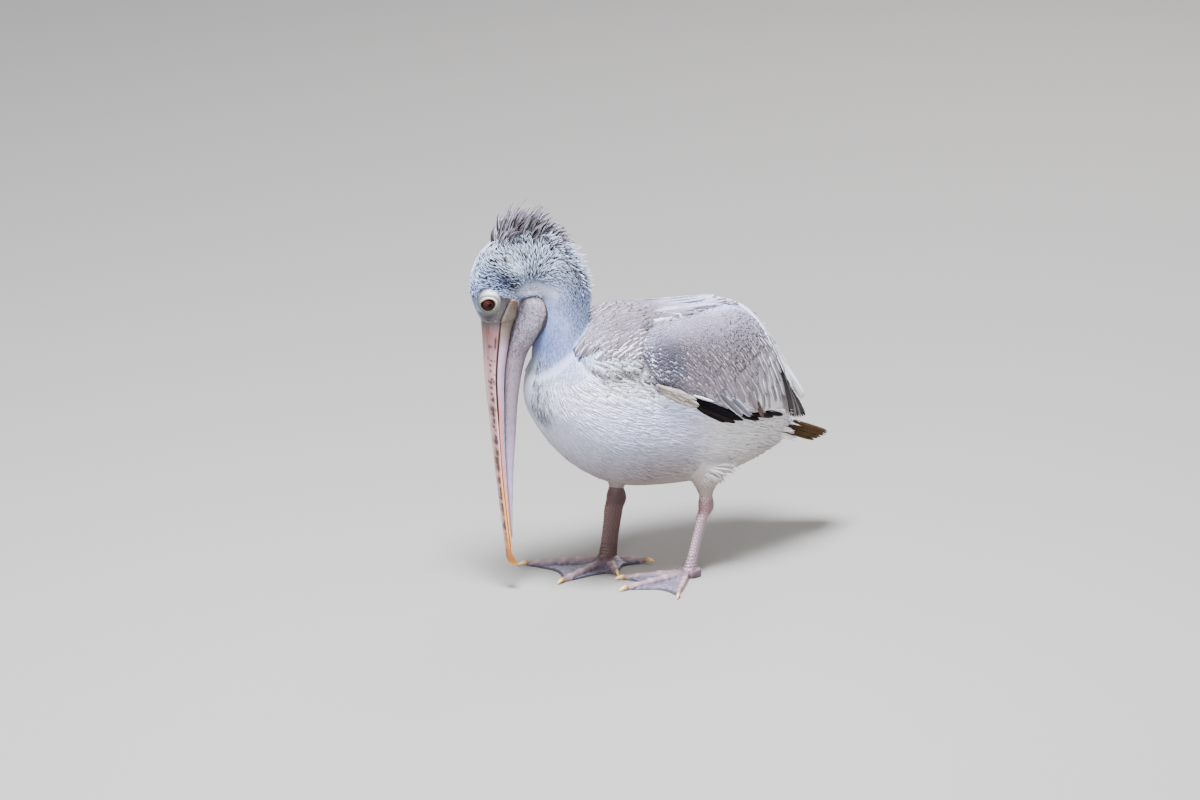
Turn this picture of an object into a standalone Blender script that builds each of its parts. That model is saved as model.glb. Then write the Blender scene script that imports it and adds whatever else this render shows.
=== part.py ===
"""A spot-billed pelican at rest, life size: it stands on two webbed feet and looks down, so that its
bill hangs in front of its breast.

Metres in the scene, +Z up. Sizes below are in millimetres. The bird faces -Y and its left side is +X.
The origin lies on the ground, in the middle of the bird's bounding box. Body, neck and bill are lofts:
rings set at stations that a smooth curve joins. Wings are shells laid on the body's own rings. Each
foot is a height field on a polar grid, flat underneath.
"""

import bmesh
import bpy
import numpy as np

# ---------------------------------------------------------------- driving dimensions, millimetres
MM = 0.001
CENTRE = (10.5, 17.0)  # middle of the bounding box, from the point between the ankles
GAP = 0.4  # clearance between neighbouring pieces
BED = 1.1  # clearance of what lies on the trunk's curved side
FULL = 2.25  # superellipse power of the trunk's rings, 2 is an ellipse

# Trunk stations from breast to rump: y, top, bottom, half width
TRUNK = (
    (-187, 276, 256, 10),
    (-182, 296, 238, 31),
    (-166, 318, 213, 52),
    (-138, 339, 178, 71),
    (-102, 355, 147, 85),
    (-57, 361, 124, 92),
    (0, 357, 114, 93),
    (60, 349, 110, 88),
    (110, 331, 113, 78),
    (150, 296, 120, 62),
    (184, 242, 130, 44),
    (208, 200, 141, 28),
    (226, 174, 151, 13),
)

# Head and neck stations from the bill's base over the crown and down the neck. In the bird's middle
# plane: throat forward, throat height, crown forward, crown height; then half width, turn in degrees
# to the bird's right, and sideways place. Forward is measured from the neck's upright axis.
NECK_AXIS_Y = -137
HEAD_NECK = (
    (54, 367, 104, 367, 21, 20, -8),
    (50, 381, 112, 384, 24.5, 20, -8),
    (47, 392, 117, 404, 27.5, 20, -8),
    (44.5, 399, 116, 426, 29.5, 20, -8),
    (42.5, 402, 107, 449, 31.5, 20, -8),
    (41, 403.5, 88, 468, 33, 20, -8),
    (39.5, 404, 62, 479, 34, 20, -8),
    (38, 404, 34, 480, 35, 20, -8),
    (37, 403, 6, 471, 35.5, 20, -8),
    (36, 400, -18, 452, 36, 20, -8),
    (35.5, 394, -34, 424, 36, 20, -8),
    (36, 383, -40, 394, 36, 18, -7),
    (37, 366, -40, 366, 36, 15, -6),
    (40, 335, -38, 336, 37, 9, -4),
    (44, 302, -38, 304, 39, 4, -2),
    (46, 268, -42, 268, 41, 1, 0),
    (38, 240, -45, 225, 38, 0, 0),
)
HEAD_END = 0.44  # share of the stations where the head ends and the neck begins
NECK_PARTING = 0.72  # where the upper neck ends
HEAD_TURN = 20
HEAD_SIDE = -8

# Bill stations, base to tip: height, then forward places of culmen, tomium and lower edge, half width
BILL = (
    (366.6, 102, 82, 59, 19.5),
    (345, 100.5, 84, 65, 19),
    (295, 97.5, 87, 72.5, 17),
    (245, 92.5, 84.5, 73, 15),
    (207, 88.5, 82, 72.5, 13.5),
    (150, 82.3, 77.3, 69.5, 11.5),
    (87, 74.5, 70.3, 65, 10.5),
    (58, 70.5, 66.8, 62.5, 9.3),
)
NAIL = (
    (57.6, 70.5, 66.4, 9.2),
    (49, 68.8, 64.3, 8.4),
    (41, 66.2, 61, 6.4),
    (36, 64, 59.4, 4),
    (33, 62, 59, 1.3),
)
# Pouch stations: height, front, rear edge, half width
POUCH = (
    (398, 50, 27, 24),
    (390, 55, 19, 30),
    (375, 57, 14.5, 33),
    (358, 61, 19, 32),
    (342, 64.5, 30, 27),
    (325, 67.5, 41, 20),
    (298, 71.5, 48.5, 14),
    (256, 72.2, 54.5, 9.5),
    (207, 71.7, 57.5, 7.5),
    (163, 69.8, 60.3, 6.3),
    (100, 65.8, 62, 5),
    (72, 63.2, 61, 3.4),
)

EYE = (15, 98, 393)  # sideways, forward, height, in the head's own frame
EYE_RADIUS = 9.5

# Wing stations, wrist to rear: y, lower and upper edge in degrees round the body, thickness
WING = (
    (-60, 31, 42, 3),
    (-54, 23, 51, 9),
    (-40, 17, 57, 13),
    (-12, 12, 61, 15),
    (24, 8, 65, 14),
    (70, 1, 72, 12),
    (120, -8, 81, 9.5),
    (160, -9.5, 86, 7.5),
    (192, -8, 88, 5.5),
)
WING_PARTING = 96  # y where coverts end and flight feathers begin
# The bed of the folded wings behind the flanks: y, top, bottom, half width
WING_BED = (
    (60, 352, 109, 89),
    (110, 345, 112, 80),
    (150, 322, 118, 69),
    (180, 284, 128, 56),
    (206, 246, 142, 42),
    (240, 220, 160, 30),
)

# Mantle stations, shoulders to the small of the back: y, lower edge in degrees, thickness
MANTLE = (
    (-142, 52, 1.5),
    (-128, 31, 3),
    (-104, 24, 4),
    (-78, 26, 4.5),
    (-60, 45, 5),
    (-44, 60, 5),
    (-12, 64, 5),
    (40, 71, 4.5),
    (100, 80.5, 3.5),
    (124, 86, 1.5),
)

TAIL_ROOT = (150, 178)  # y, z
TAIL_TIP = (283, 146)
TAIL_HALF_WIDTH = 36
TAIL_DROOP = 6  # of the fan's sides below its middle

# Legs, each from its own place: ankle, hock, top of the thigh, and the blade's turn in degrees
# from straight ahead towards the bird's left
LEGS = {
    "left": dict(
        ankle=(53, 28, 10), hock=(50, 54, 88), thigh=(46, 60, 150), turn=35,
        toes=(("outer", 46, 94), ("middle", 3, 104), ("inner", -22, 88), ("hind", -121, 50)),
    ),
    "right": dict(
        ankle=(-53, -28, 10), hock=(-50, -18, 88), thigh=(-46, -9, 150), turn=-14,
        toes=(("outer", -28, 106), ("middle", 21, 104), ("inner", 68, 52), ("hind", 145, 50)),
    ),
}
WEB_THICKNESS = 2.2
TOE_RADIUS = 6.0
CLAW_LENGTH = 12


# ---------------------------------------------------------------- curves, rings and meshes
def along(stations, t):
    """Rows read from the smooth curve (Catmull-Rom) through evenly numbered stations; t runs 0 to 1."""
    rows = np.asarray(stations, float)
    place = np.clip(np.asarray(t, float), 0, 1) * (len(rows) - 1)
    i = np.minimum(place.astype(int), len(rows) - 2)
    f = (place - i)[..., None]
    a, b, c, d = rows[np.maximum(i - 1, 0)], rows[i], rows[i + 1], rows[np.minimum(i + 2, len(rows) - 1)]
    return 0.5 * (2 * b + (c - a) * f + (2 * a - 5 * b + 4 * c - d) * f**2 + (3 * b - a - 3 * c + d) * f**3)


def at_y(stations, y):
    """Rows read where the first column, which rises, equals y."""
    t = np.linspace(0, 1, 400)
    rows = along(stations, t)
    return along(stations, np.interp(y, rows[:, 0], t))


def power(value, exponent):
    """value to a power, with its sign kept."""
    return np.sign(value) * np.abs(value) ** exponent


def turns(count):
    """Angles once round a ring."""
    return np.arange(count) * 2 * np.pi / count


def from_head(side, forward, height, turn=HEAD_TURN, axis_x=HEAD_SIDE):
    """Points of the head's own frame, turned about the neck's upright axis, in the body's frame."""
    angle = np.radians(turn)
    x = axis_x + side * np.cos(angle) - forward * np.sin(angle)
    y = NECK_AXIS_Y - side * np.sin(angle) - forward * np.cos(angle)
    return np.stack(np.broadcast_arrays(x, y, height), axis=-1)


def material(name, colour, roughness=0.7):
    made = bpy.data.materials.new(name)
    made.use_nodes = True
    shader = made.node_tree.nodes["Principled BSDF"]
    shader.inputs["Base Color"].default_value = (*colour, 1)
    shader.inputs["Roughness"].default_value = roughness
    made.diffuse_color = (*colour, 1)
    return made


def solid(name, points, faces, finish):
    """An object from points in millimetres and faces, with its normals turned outwards."""
    mesh = bpy.data.meshes.new(name)
    places = (np.asarray(points, float) - (CENTRE[0], CENTRE[1], 0)) * MM
    mesh.from_pydata(places.tolist(), [], faces)
    shape = bmesh.new()
    shape.from_mesh(mesh)
    bmesh.ops.recalc_face_normals(shape, faces=shape.faces)
    bmesh.ops.triangulate(shape, faces=[f for f in shape.faces if len(f.verts) == 4])
    shape.to_mesh(mesh)
    shape.free()
    mesh.shade_smooth()
    mesh.set_sharp_from_angle(angle=0.7)
    mesh.materials.append(finish)
    made = bpy.data.objects.new(name, mesh)
    bpy.context.scene.collection.objects.link(made)
    return made


def strips(rows, columns, closed):
    """Quads of a grid of points numbered row by row; closed joins the last column to the first."""
    last = columns if closed else columns - 1
    return [
        (r * columns + c, r * columns + (c + 1) % columns,
         (r + 1) * columns + (c + 1) % columns, (r + 1) * columns + c)
        for r in range(rows - 1)
        for c in range(last)
    ]


def loft(name, rings, finish):
    """A closed body through rings (station, point round, xyz), its ends closed by flat fans."""
    rows, columns = rings.shape[:2]
    points = np.concatenate([rings.reshape(-1, 3), [rings[0].mean(0), rings[-1].mean(0)]])
    first, last = rows * columns, rows * columns + 1
    base = (rows - 1) * columns
    faces = strips(rows, columns, True)
    faces += [(first, (c + 1) % columns, c) for c in range(columns)]
    faces += [(last, base + c, base + (c + 1) % columns) for c in range(columns)]
    return solid(name, points, faces, finish)


def shell(name, outer, inner, finish):
    """A closed plate between two grids of points, joined round their border."""
    rows, columns = outer.shape[:2]
    count = rows * columns
    points = np.concatenate([outer.reshape(-1, 3), inner.reshape(-1, 3)])
    top = strips(rows, columns, False)
    grid = np.arange(count).reshape(rows, columns)
    border = np.concatenate([grid[0, :-1], grid[:-1, -1], grid[-1, :0:-1], grid[:0:-1, 0]]).tolist()
    faces = top + [tuple(count + v for v in reversed(face)) for face in top]
    faces += [(a, b, count + b, count + a) for a, b in zip(border, border[1:] + border[:1])]
    return solid(name, points, faces, finish)


def cutter(name, rings):
    """A body that only cuts others, left out of the model."""
    made = loft(name, rings, PLAIN)
    made.hide_render = True
    made.display_type = "WIRE"
    return made


def cut(target, *tools):
    for tool in tools:
        step = target.modifiers.new(tool.name, "BOOLEAN")
        step.operation = "DIFFERENCE"
        step.object = tool
    return target


# ---------------------------------------------------------------- the body's surfaces
def body_ring(top, bottom, half, angle, grow=0.0):
    """Sideways and height on a superellipse; angle is measured up from the side, in radians."""
    middle = (top + bottom) / 2
    x = (half + grow) * power(np.cos(angle), 2 / FULL)
    z = middle + ((top - bottom) / 2 + grow) * power(np.sin(angle), 2 / FULL)
    return x, z


def trunk_rings(t, count, grow=0.0):
    """Upright rings from breast to rump."""
    y, top, bottom, half = (column[:, None] for column in along(TRUNK, t).T)
    x, z = body_ring(top, bottom, half, turns(count)[None, :], grow)
    y = y + grow * (2 * np.asarray(t)[:, None] - 1)
    return np.stack(np.broadcast_arrays(x, y, z), axis=-1)


def neck_rings(t, count, grow=0.0):
    """Rings from the throat line to the crown line, as wide as the station says, turned with the head."""
    rows = along(HEAD_NECK, t)
    throat, crown = rows[:, None, 0:2], rows[:, None, 2:4]
    half, turn, axis_x = rows[:, 4, None], rows[:, 5, None], rows[:, 6, None]
    angle = turns(count)[None, :]
    depth = np.linalg.norm(crown - throat, axis=-1, keepdims=True) / 2
    line = (throat + crown) / 2 + (crown - throat) / 2 * (1 + grow / depth) * np.cos(angle)[..., None]
    side = (half + grow) * np.sin(angle)
    return from_head(side, line[..., 0], line[..., 1], turn, axis_x)


def ring_normal(ring):
    """The direction across a flat ring."""
    across = np.cross(ring[len(ring) // 4] - ring[0], ring[len(ring) // 2] - ring[0])
    return across / np.linalg.norm(across)


def bed_rows(y):
    """Top, bottom and half width of the rings that the folded wing lies on."""
    return np.where(y[..., None] < WING_BED[0][0], at_y(TRUNK, y), at_y(WING_BED, y))


def wing_bed(y, angle, grow):
    """Sideways and height of the surface that the folded wing lies on, at y and angle up from the side."""
    rows = bed_rows(y)
    return body_ring(rows[..., 1], rows[..., 2], rows[..., 3], angle, grow)


# ---------------------------------------------------------------- the pieces
def make_trunk():
    share = np.linspace(0, 1, 21)
    loft("trunk", trunk_rings(share, 24), WHITE)
    return cutter("cut_trunk", trunk_rings(share, 24, GAP))


def make_head_and_neck(trunk):
    count = 20
    head_rows = np.linspace(0, HEAD_END, 14)
    head_rings = neck_rings(head_rows, count)
    head = loft("head", head_rings, GREY)

    upper = neck_rings(np.linspace(HEAD_END, NECK_PARTING, 10), count)
    step = ring_normal(upper[0])
    if (upper[1].mean(0) - upper[0].mean(0)) @ step < 0:
        step = -step
    upper[0] += step * GAP
    loft("neck_upper", upper, GREY)

    lower = neck_rings(np.linspace(NECK_PARTING, 1, 9), count)
    lower[0, :, 2] -= GAP
    cut(loft("neck_lower", lower, GREY), trunk)

    share = np.concatenate([head_rows, np.linspace(HEAD_END, 1, 15)[1:]])
    everything = neck_rings(share, count, GAP)
    everything[0, :, 2] -= GAP
    return head, cutter("cut_neck", everything)


def ball(name, centre, radius, finish):
    """A sphere as a loft along the sideways axis of the head."""
    lean = np.linspace(0.2, np.pi - 0.2, 7)
    around = turns(11)
    side = centre[0] + radius * np.cos(lean)[:, None] + 0 * around
    forward = centre[1] + radius * np.sin(lean)[:, None] * np.cos(around)
    height = centre[2] + radius * np.sin(lean)[:, None] * np.sin(around)
    return loft(name, from_head(side, forward, height), finish)


def make_eyes(head):
    for name, sign in (("left", 1), ("right", -1)):
        centre = (sign * EYE[0], EYE[1], EYE[2])
        ball(f"eye_{name}", centre, EYE_RADIUS, RED)
        socket = ball(f"cut_eye_{name}", centre, EYE_RADIUS + GAP, PLAIN)
        socket.hide_render = True
        socket.display_type = "WIRE"
        cut(head, socket)


def mandible_rings(height, edge_out, edge_in, half, count, hollow=0.0):
    """Level rings, each half an ellipse standing on a nearly flat face, as a mandible is across."""
    angle = turns(count)[None, :]
    side = half[:, None] * np.sin(angle)
    rise = np.where(np.cos(angle) > 0, (edge_out - edge_in)[:, None], hollow) * np.cos(angle)
    return from_head(side, edge_in[:, None] + rise, height[:, None])


def make_bill(neck):
    rows = along(BILL, np.linspace(0, 1, 12))
    height, culmen, tomium, ramus, half = rows.T
    loft("bill_upper", mandible_rings(height, culmen, tomium, half, 16, 0.6), PINK)

    nail = along(NAIL, np.linspace(0, 1, 7))
    loft("bill_nail", mandible_rings(nail[:, 0], nail[:, 1], nail[:, 2], nail[:, 3], 12, 0.5), YELLOW)

    lower = mandible_rings(height, ramus, tomium - 0.6 - GAP, half * 0.94, 14, -0.2)
    lower_grown = mandible_rings(height, ramus - GAP, tomium - 0.6, half * 0.94 + GAP, 14, -0.2)
    lower_grown[0, :, 2] += GAP
    lower_grown[-1, :, 2] -= GAP
    loft("bill_lower", lower, PINK)
    return cutter("cut_bill_lower", lower_grown)


def make_pouch(trunk, neck, bill):
    rows = along(POUCH, np.linspace(0, 1, 14))
    height, front, rear, half = rows.T
    angle = turns(14)[None, :]
    side = half[:, None] * power(np.sin(angle), 0.8)
    forward = ((front + rear) / 2)[:, None] + ((front - rear) / 2)[:, None] * np.cos(angle)
    pouch = loft("pouch", from_head(side, forward, height[:, None]), MAUVE)
    cut(pouch, trunk, neck, bill)


def make_crest():
    """Plumes on the hind crown: a thin upright fan whose free edge runs in tufts."""
    along_root = np.linspace(0, 1, 19)
    root = along(HEAD_NECK, 0.312 + 0.2 * along_root)[:, 2:4]
    outward = along(((0.0, 1.0), (-0.2, 1.0), (-0.45, 1.0), (-0.8, 0.9)), along_root)
    outward /= np.linalg.norm(outward, axis=1, keepdims=True)
    tuft = np.abs(np.sin(along_root * np.pi * 6))
    reach = along(((18,), (42,), (36,), (18,)), along_root)[:, 0] * (0.72 + 0.28 * tuft)
    share = np.array([0.0, 0.4, 0.75, 1.0])
    start = 1.5
    line = root[:, None] + outward[:, None] * (start + reach[:, None] * share)[..., None]
    half = np.maximum(11 * (1 - share) ** 0.7, 0.4)[None, :] * (0.45 + 0.55 * np.sin(np.pi * along_root))[:, None] + 0.3
    left = from_head(half, line[..., 0], line[..., 1])
    right = from_head(-half, line[..., 0], line[..., 1])
    return shell("crest", left, right, GREY)


def make_wing(name, sign, trunk):
    """Coverts and flight feathers as two shells on the body, then the blades that show beyond them."""
    def patch(y, across, thickness, lift):
        """Outer and inner grid; across runs 0 to 1 from the lower to the upper edge."""
        rows = at_y(WING, y)
        angle = np.radians(rows[..., 1] + (rows[..., 2] - rows[..., 1]) * across)
        grids = []
        for grow in (BED + lift + thickness(rows[..., 3], across), BED + lift):
            x, z = wing_bed(y, angle, grow)
            grids.append(np.stack([sign * x, y, z], axis=-1))
        return grids

    def bulge(most, across):
        return 1.5 + (most - 1.5) * np.sin(np.pi * np.clip(across, 0.0, 1.0)) ** 0.55

    across = np.linspace(0, 1, 9)[None, :]
    front = np.interp(np.linspace(0, 1, 10) ** 1.4, (0, 1), (WING[0][0], WING_PARTING))[:, None]
    shell(f"wing_{name}_coverts", *patch(front + 0 * across, across + 0 * front, bulge, 0), SILVER)

    across = np.linspace(0, 1, 11)[None, :]
    share = np.linspace(0, 1, 6)[:, None]
    ragged = WING[-1][0] - 7 * (1 - np.abs(np.sin(across * np.pi * 5)))
    y = WING_PARTING + GAP + share * (ragged - WING_PARTING - GAP)
    shell(f"wing_{name}_secondaries", *patch(y, across + 0 * y, bulge, 0), SILVER)

    # the bastard wing: a dark blade just under the coverts' lower edge
    feather(f"wing_{name}_alula", sign, (2, 92), (7, 1.5, -5, -11), (3, 6, 6, 1.5), BED, 2.2, BLACK)
    # primaries: long, under the flight feathers, their tips free over the tail
    primaries = feather(f"wing_{name}_primaries", sign, (140, 230), (-8, -9, -11, -17), (12, 15, 13, 3),
                        -3.2, 2.2, BLACK)
    # tertials: broad round feathers over the rump
    tertials = feather(f"wing_{name}_tertials", sign, (150, 239), (52, 51, 49, 48), (14, 18, 17, 8),
                       -3.2, 2.2, WHITE)
    cut(primaries, trunk)
    cut(tertials, trunk)


def make_mantle(neck):
    """The back feathers: a saddle over the shoulders, cut where the neck passes through."""
    y = along(MANTLE, np.linspace(0, 1, 14))[:, 0][:, None]
    rows = at_y(MANTLE, y)
    across = np.linspace(-1, 1, 11)[None, :]
    angle = np.radians(90 - (90 - rows[..., 1]) * across)
    rise = 1.0 + (rows[..., 2] - 1.0) * (1 - np.abs(across) ** 6)
    grids = []
    for grow in (BED + rise, BED):
        x, z = wing_bed(y + 0 * across, angle, grow)
        grids.append(np.stack([x, y + 0 * across, z], axis=-1))
    cut(shell("mantle", *grids, SILVER), neck)


def feather(name, sign, ends, angles, half_widths, lift, thickness, finish):
    """A long feather laid round the body: ends along y, angles and half widths read from root to tip."""
    share = np.linspace(0, 1, 7)[:, None]
    width = np.linspace(-1, 1, 4)[None, :]
    y = ends[0] + (ends[1] - ends[0]) * share + 0 * width
    middle = along([(value,) for value in angles], share)[..., 0]
    half = along([(value,) for value in half_widths], share)[..., 0]
    rows = bed_rows(y)
    radius = (rows[..., 1] - rows[..., 2] + 2 * rows[..., 3]) / 4
    angle = np.radians(middle) + width * half / radius
    grids = []
    for grow in (lift + thickness, lift):
        x, z = wing_bed(y, angle, grow)
        grids.append(np.stack([sign * x, y, z], axis=-1))
    return shell(name, *grids, finish)


def make_tail(trunk):
    """A fan of stiff feathers, arched across, its rear edge rounded and notched between feathers."""
    across = np.linspace(-1, 1, 17)[None, :]
    share = np.linspace(0, 1, 4)[:, None]
    feather = 1 - np.abs(np.sin(across * np.pi * 4))
    length = (TAIL_TIP[0] - TAIL_ROOT[0]) * (1 - 0.30 * np.abs(across) ** 2.2) - 4 * feather
    y = TAIL_ROOT[0] + share * length
    x = across * (16 + (TAIL_HALF_WIDTH - 16) * share ** 0.8)
    z = TAIL_ROOT[1] + share * (TAIL_TIP[1] - TAIL_ROOT[1]) - TAIL_DROOP * across**2 * share
    half = np.interp(share, (0, 1), (3.5, 0.45)) + 0 * across
    x, y, z = np.broadcast_arrays(x, y, z)
    grid = np.stack([x, y, z], axis=-1)
    up = np.stack([0 * half, 0 * half, half], axis=-1)
    cut(shell("tail", grid + up, grid - up, BROWN), trunk)


def upright_rings(rows, count, turn=0.0):
    """Level elliptical rings; each row is x, y, z, half across, half along the turned direction."""
    rows = np.asarray(rows, float)
    angle = turns(count)[None, :]
    ahead = np.radians(turn)
    side = rows[:, 3, None] * np.cos(angle)
    fore = rows[:, 4, None] * np.sin(angle)
    x = rows[:, 0, None] + side * np.cos(ahead) + fore * np.sin(ahead)
    y = rows[:, 1, None] + side * np.sin(ahead) - fore * np.cos(ahead)
    return np.stack(np.broadcast_arrays(x, y, rows[:, 2, None]), axis=-1)


def between(a, b, share):
    return tuple(np.asarray(a, float) + (np.asarray(b, float) - a) * share)


def make_leg(name, leg, trunk):
    ankle, hock, thigh, turn = leg["ankle"], leg["hock"], leg["thigh"], leg["turn"]
    knob_top, knob_foot = 102, 74

    rows = along((
        (*thigh, 30, 35),
        (*between(thigh, hock, 0.36), 23, 28),
        (*between(thigh, hock, 0.62), 13.5, 17),
        (hock[0] + 1.5, hock[1] + 1, knob_top + GAP, 8.5, 9.5),
    ), np.linspace(0, 1, 8))
    rows[-1, 2] = knob_top + GAP
    cut(loft(f"thigh_{name}", upright_rings(rows, 14, turn), WHITE), trunk)

    foot = between(ankle, hock, (knob_foot - ankle[2]) / (hock[2] - ankle[2]))
    rows = along((
        (hock[0] + 1.5, hock[1] + 1, knob_top, 8.2, 9.2),
        (hock[0] + 0.5, hock[1] + 1.5, hock[2] + 5, 9.5, 12.5),
        (hock[0], hock[1] + 1.5, hock[2] - 4, 9.0, 13.5),
        (*foot[:2], knob_foot, 6.8, 12.8),
    ), np.linspace(0, 1, 7))
    loft(f"hock_{name}", upright_rings(rows, 12, turn), MAUVE)

    rows = along((
        (*foot[:2], knob_foot - GAP, 6.7, 12.6),
        (*between(foot, ankle, 0.35)[:2], 51, 6.0, 11.6),
        (*between(foot, ankle, 0.7)[:2], 29, 6.2, 11.4),
        (*ankle, 8.2, 12.6),
    ), np.linspace(0, 1, 7))
    loft(f"tarsus_{name}", upright_rings(rows, 12, turn), MAUVE)

    make_foot(name, ankle, leg["toes"])


def foot_outline(toes, angle):
    """The web's reach at each angle: out to the toe tips, drawn in between them, short at the heel."""
    heel = 15.0
    order = sorted((np.radians(turn), reach) for _, turn, reach in toes)
    reach = np.full(angle.shape, heel)
    for (low, r_low), (high, r_high) in zip(order, order[1:]):
        inside = (angle >= low) & (angle <= high)
        share = (angle - low) / (high - low)
        chord = r_low * r_high * np.sin(high - low) / (
            r_low * np.sin(np.clip(angle - low, 0, None)) + r_high * np.sin(np.clip(high - angle, 0, None)) + 1e-9)
        drawn = chord * (1 - (0.16 if high - low < 1 else 0.3) * np.sin(np.pi * share))
        reach = np.where(inside, drawn, reach)
    for turn, length in (order[0], order[-1]):
        away = np.degrees(np.abs(angle - turn))
        outside = (angle < order[0][0]) | (angle > order[-1][0])
        edge = heel + (length - heel) * np.clip(1 - away / 7, 0, 1) ** 2
        reach = np.where(outside, np.maximum(reach, edge), reach)
    return reach


def make_foot(name, ankle, toes):
    """A height field on a polar grid about the ankle: flat below, toes as ridges on the web above."""
    order = sorted(toes, key=lambda toe: toe[1])
    start = order[0][1] - 7
    end = order[-1][1] + 7
    marks = [start]
    for _, turn, _ in order:
        marks += [turn - 2.2, turn, turn + 2.2]
    fine = []
    for a, b in zip(marks, marks[1:]):
        fine += list(np.linspace(a, b, 5 if b - a > 20 else (3 if b - a > 4 else 2))[:-1])
    fine += [marks[-1], end]
    heel = list(np.linspace(end, start + 360, 8)[1:-1])
    angle = np.radians(np.array(fine + heel))
    wrapped = np.where(angle > np.radians(end) + 1e-6, angle - 2 * np.pi, angle)
    reach = np.maximum(foot_outline(toes, angle), foot_outline(toes, wrapped))

    share = np.array([0.0, 0.16, 0.4, 0.7, 1.0])
    inner = 10.5
    radius = inner + (reach[:, None] - inner) * share[None, :]
    ridge = np.zeros_like(radius)
    for _, turn, length in toes:
        away = (np.radians(turn) - angle + np.pi) % (2 * np.pi) - np.pi
        distance = radius * np.abs(np.sin(np.clip(away, -np.pi / 2, np.pi / 2))[:, None])
        thick = TOE_RADIUS * (1.28 - 0.5 * np.clip(radius / length, 0, 1))
        ridge = np.maximum(ridge, thick * np.sqrt(np.clip(1 - (distance / (thick * 1.15)) ** 2, 0, 1)))
    base = 9.6
    hump = (base - WEB_THICKNESS) * np.exp(-(((radius - inner) / 12) ** 2))
    height = WEB_THICKNESS + np.maximum(hump, ridge * 1.05 * np.clip((radius - inner) / 8, 0, 1))
    height[:, 0] = base
    x = ankle[0] + radius * np.sin(angle[:, None])
    y = ankle[1] - radius * np.cos(angle[:, None])
    top = np.stack([x, y, height], axis=-1)

    rows, columns = radius.shape
    points = np.concatenate([
        top.transpose(1, 0, 2).reshape(-1, 3),
        top[:, -1] * (1, 1, 0),
        [(ankle[0], ankle[1], base), (ankle[0], ankle[1], 0)],
    ])
    faces = strips(columns + 1, rows, True)
    centre_top, centre_foot = len(points) - 2, len(points) - 1
    rim = columns * rows
    faces += [(centre_top, (r + 1) % rows, r) for r in range(rows)]
    faces += [(centre_foot, rim + r, rim + (r + 1) % rows) for r in range(rows)]
    solid(f"foot_{name}", points, faces, MAUVE)

    for toe, turn, length in toes:
        make_claw(f"claw_{name}_{toe}", ankle, np.radians(turn), length)


def make_claw(name, ankle, turn, length):
    """A curved horn at a toe's tip that bends down to the ground."""
    share = np.linspace(0, 1, 5)
    radius = 3.1 * (1 - 0.86 * share**1.3)
    out = length + 0.9 + CLAW_LENGTH * np.sin(share * 1.15) / np.sin(1.15)
    height = 4.6 + 1.0 * share - 5.0 * share**2
    height = np.maximum(height, radius + 0.3)
    angle = turns(7)[None, :]
    side = radius[:, None] * 0.85 * np.cos(angle)
    fore = out[:, None] - 0.5 * radius[:, None] * np.sin(angle) * share[:, None]
    z = height[:, None] + radius[:, None] * np.sin(angle)
    ahead = (np.sin(turn), -np.cos(turn))
    x = ankle[0] + fore * ahead[0] - side * ahead[1]
    y = ankle[1] + fore * ahead[1] + side * ahead[0]
    loft(name, np.stack([x, y, z], axis=-1), YELLOW)


for old in list(bpy.data.objects):
    bpy.data.objects.remove(old)

PLAIN = material("plain", (0.5, 0.5, 0.5))
WHITE = material("white feathers", (0.80, 0.79, 0.77))
GREY = material("pale grey feathers", (0.62, 0.63, 0.68))
SILVER = material("silver grey feathers", (0.42, 0.41, 0.41))
BROWN = material("brown tail feathers", (0.33, 0.27, 0.22))
BLACK = material("black flight feathers", (0.03, 0.03, 0.035), 0.5)
PINK = material("pink horn", (0.66, 0.46, 0.45), 0.45)
YELLOW = material("yellow horn", (0.72, 0.46, 0.12), 0.4)
MAUVE = material("mauve skin", (0.42, 0.36, 0.40), 0.55)
RED = material("red brown eye", (0.25, 0.06, 0.03), 0.1)

trunk_cutter = make_trunk()
head_object, neck_cutter = make_head_and_neck(trunk_cutter)
make_eyes(head_object)
bill_cutter = make_bill(neck_cutter)
make_pouch(trunk_cutter, neck_cutter, bill_cutter)
make_crest()
make_mantle(neck_cutter)
for wing_name, wing_side in (("left", 1), ("right", -1)):
    make_wing(wing_name, wing_side, trunk_cutter)
make_tail(trunk_cutter)
for leg_name, leg_sizes in LEGS.items():
    make_leg(leg_name, leg_sizes, trunk_cutter)
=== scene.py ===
import bmesh
import bpy
import numpy as np
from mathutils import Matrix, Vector


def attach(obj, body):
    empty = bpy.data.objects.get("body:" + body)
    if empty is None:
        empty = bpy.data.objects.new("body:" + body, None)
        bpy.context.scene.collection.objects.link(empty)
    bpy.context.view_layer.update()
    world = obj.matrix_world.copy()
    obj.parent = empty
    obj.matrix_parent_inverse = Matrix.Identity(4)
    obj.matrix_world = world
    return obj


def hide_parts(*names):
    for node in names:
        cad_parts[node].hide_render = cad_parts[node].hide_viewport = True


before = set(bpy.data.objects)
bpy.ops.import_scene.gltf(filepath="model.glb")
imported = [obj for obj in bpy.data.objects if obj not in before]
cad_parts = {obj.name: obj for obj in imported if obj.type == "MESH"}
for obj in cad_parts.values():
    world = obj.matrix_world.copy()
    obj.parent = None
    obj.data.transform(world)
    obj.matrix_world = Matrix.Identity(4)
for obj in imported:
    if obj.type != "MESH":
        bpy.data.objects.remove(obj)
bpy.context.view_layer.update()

random = np.random.default_rng(7)

MM = 0.001  # metres in a millimetre
CENTRE = (10.5, 17.0)  # the frame's origin, from the point between the ankles
BED = 1.1  # how far wing and mantle stand off the rings they lie on
PATCH = 0.003  # width of one vane's patch on the map that colours are baked to
FULL = 2.25  # superellipse power of the trunk's rings
BRIGHT = 2.8  # light on a surface that faces the lamps, as a share of its own colour

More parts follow.
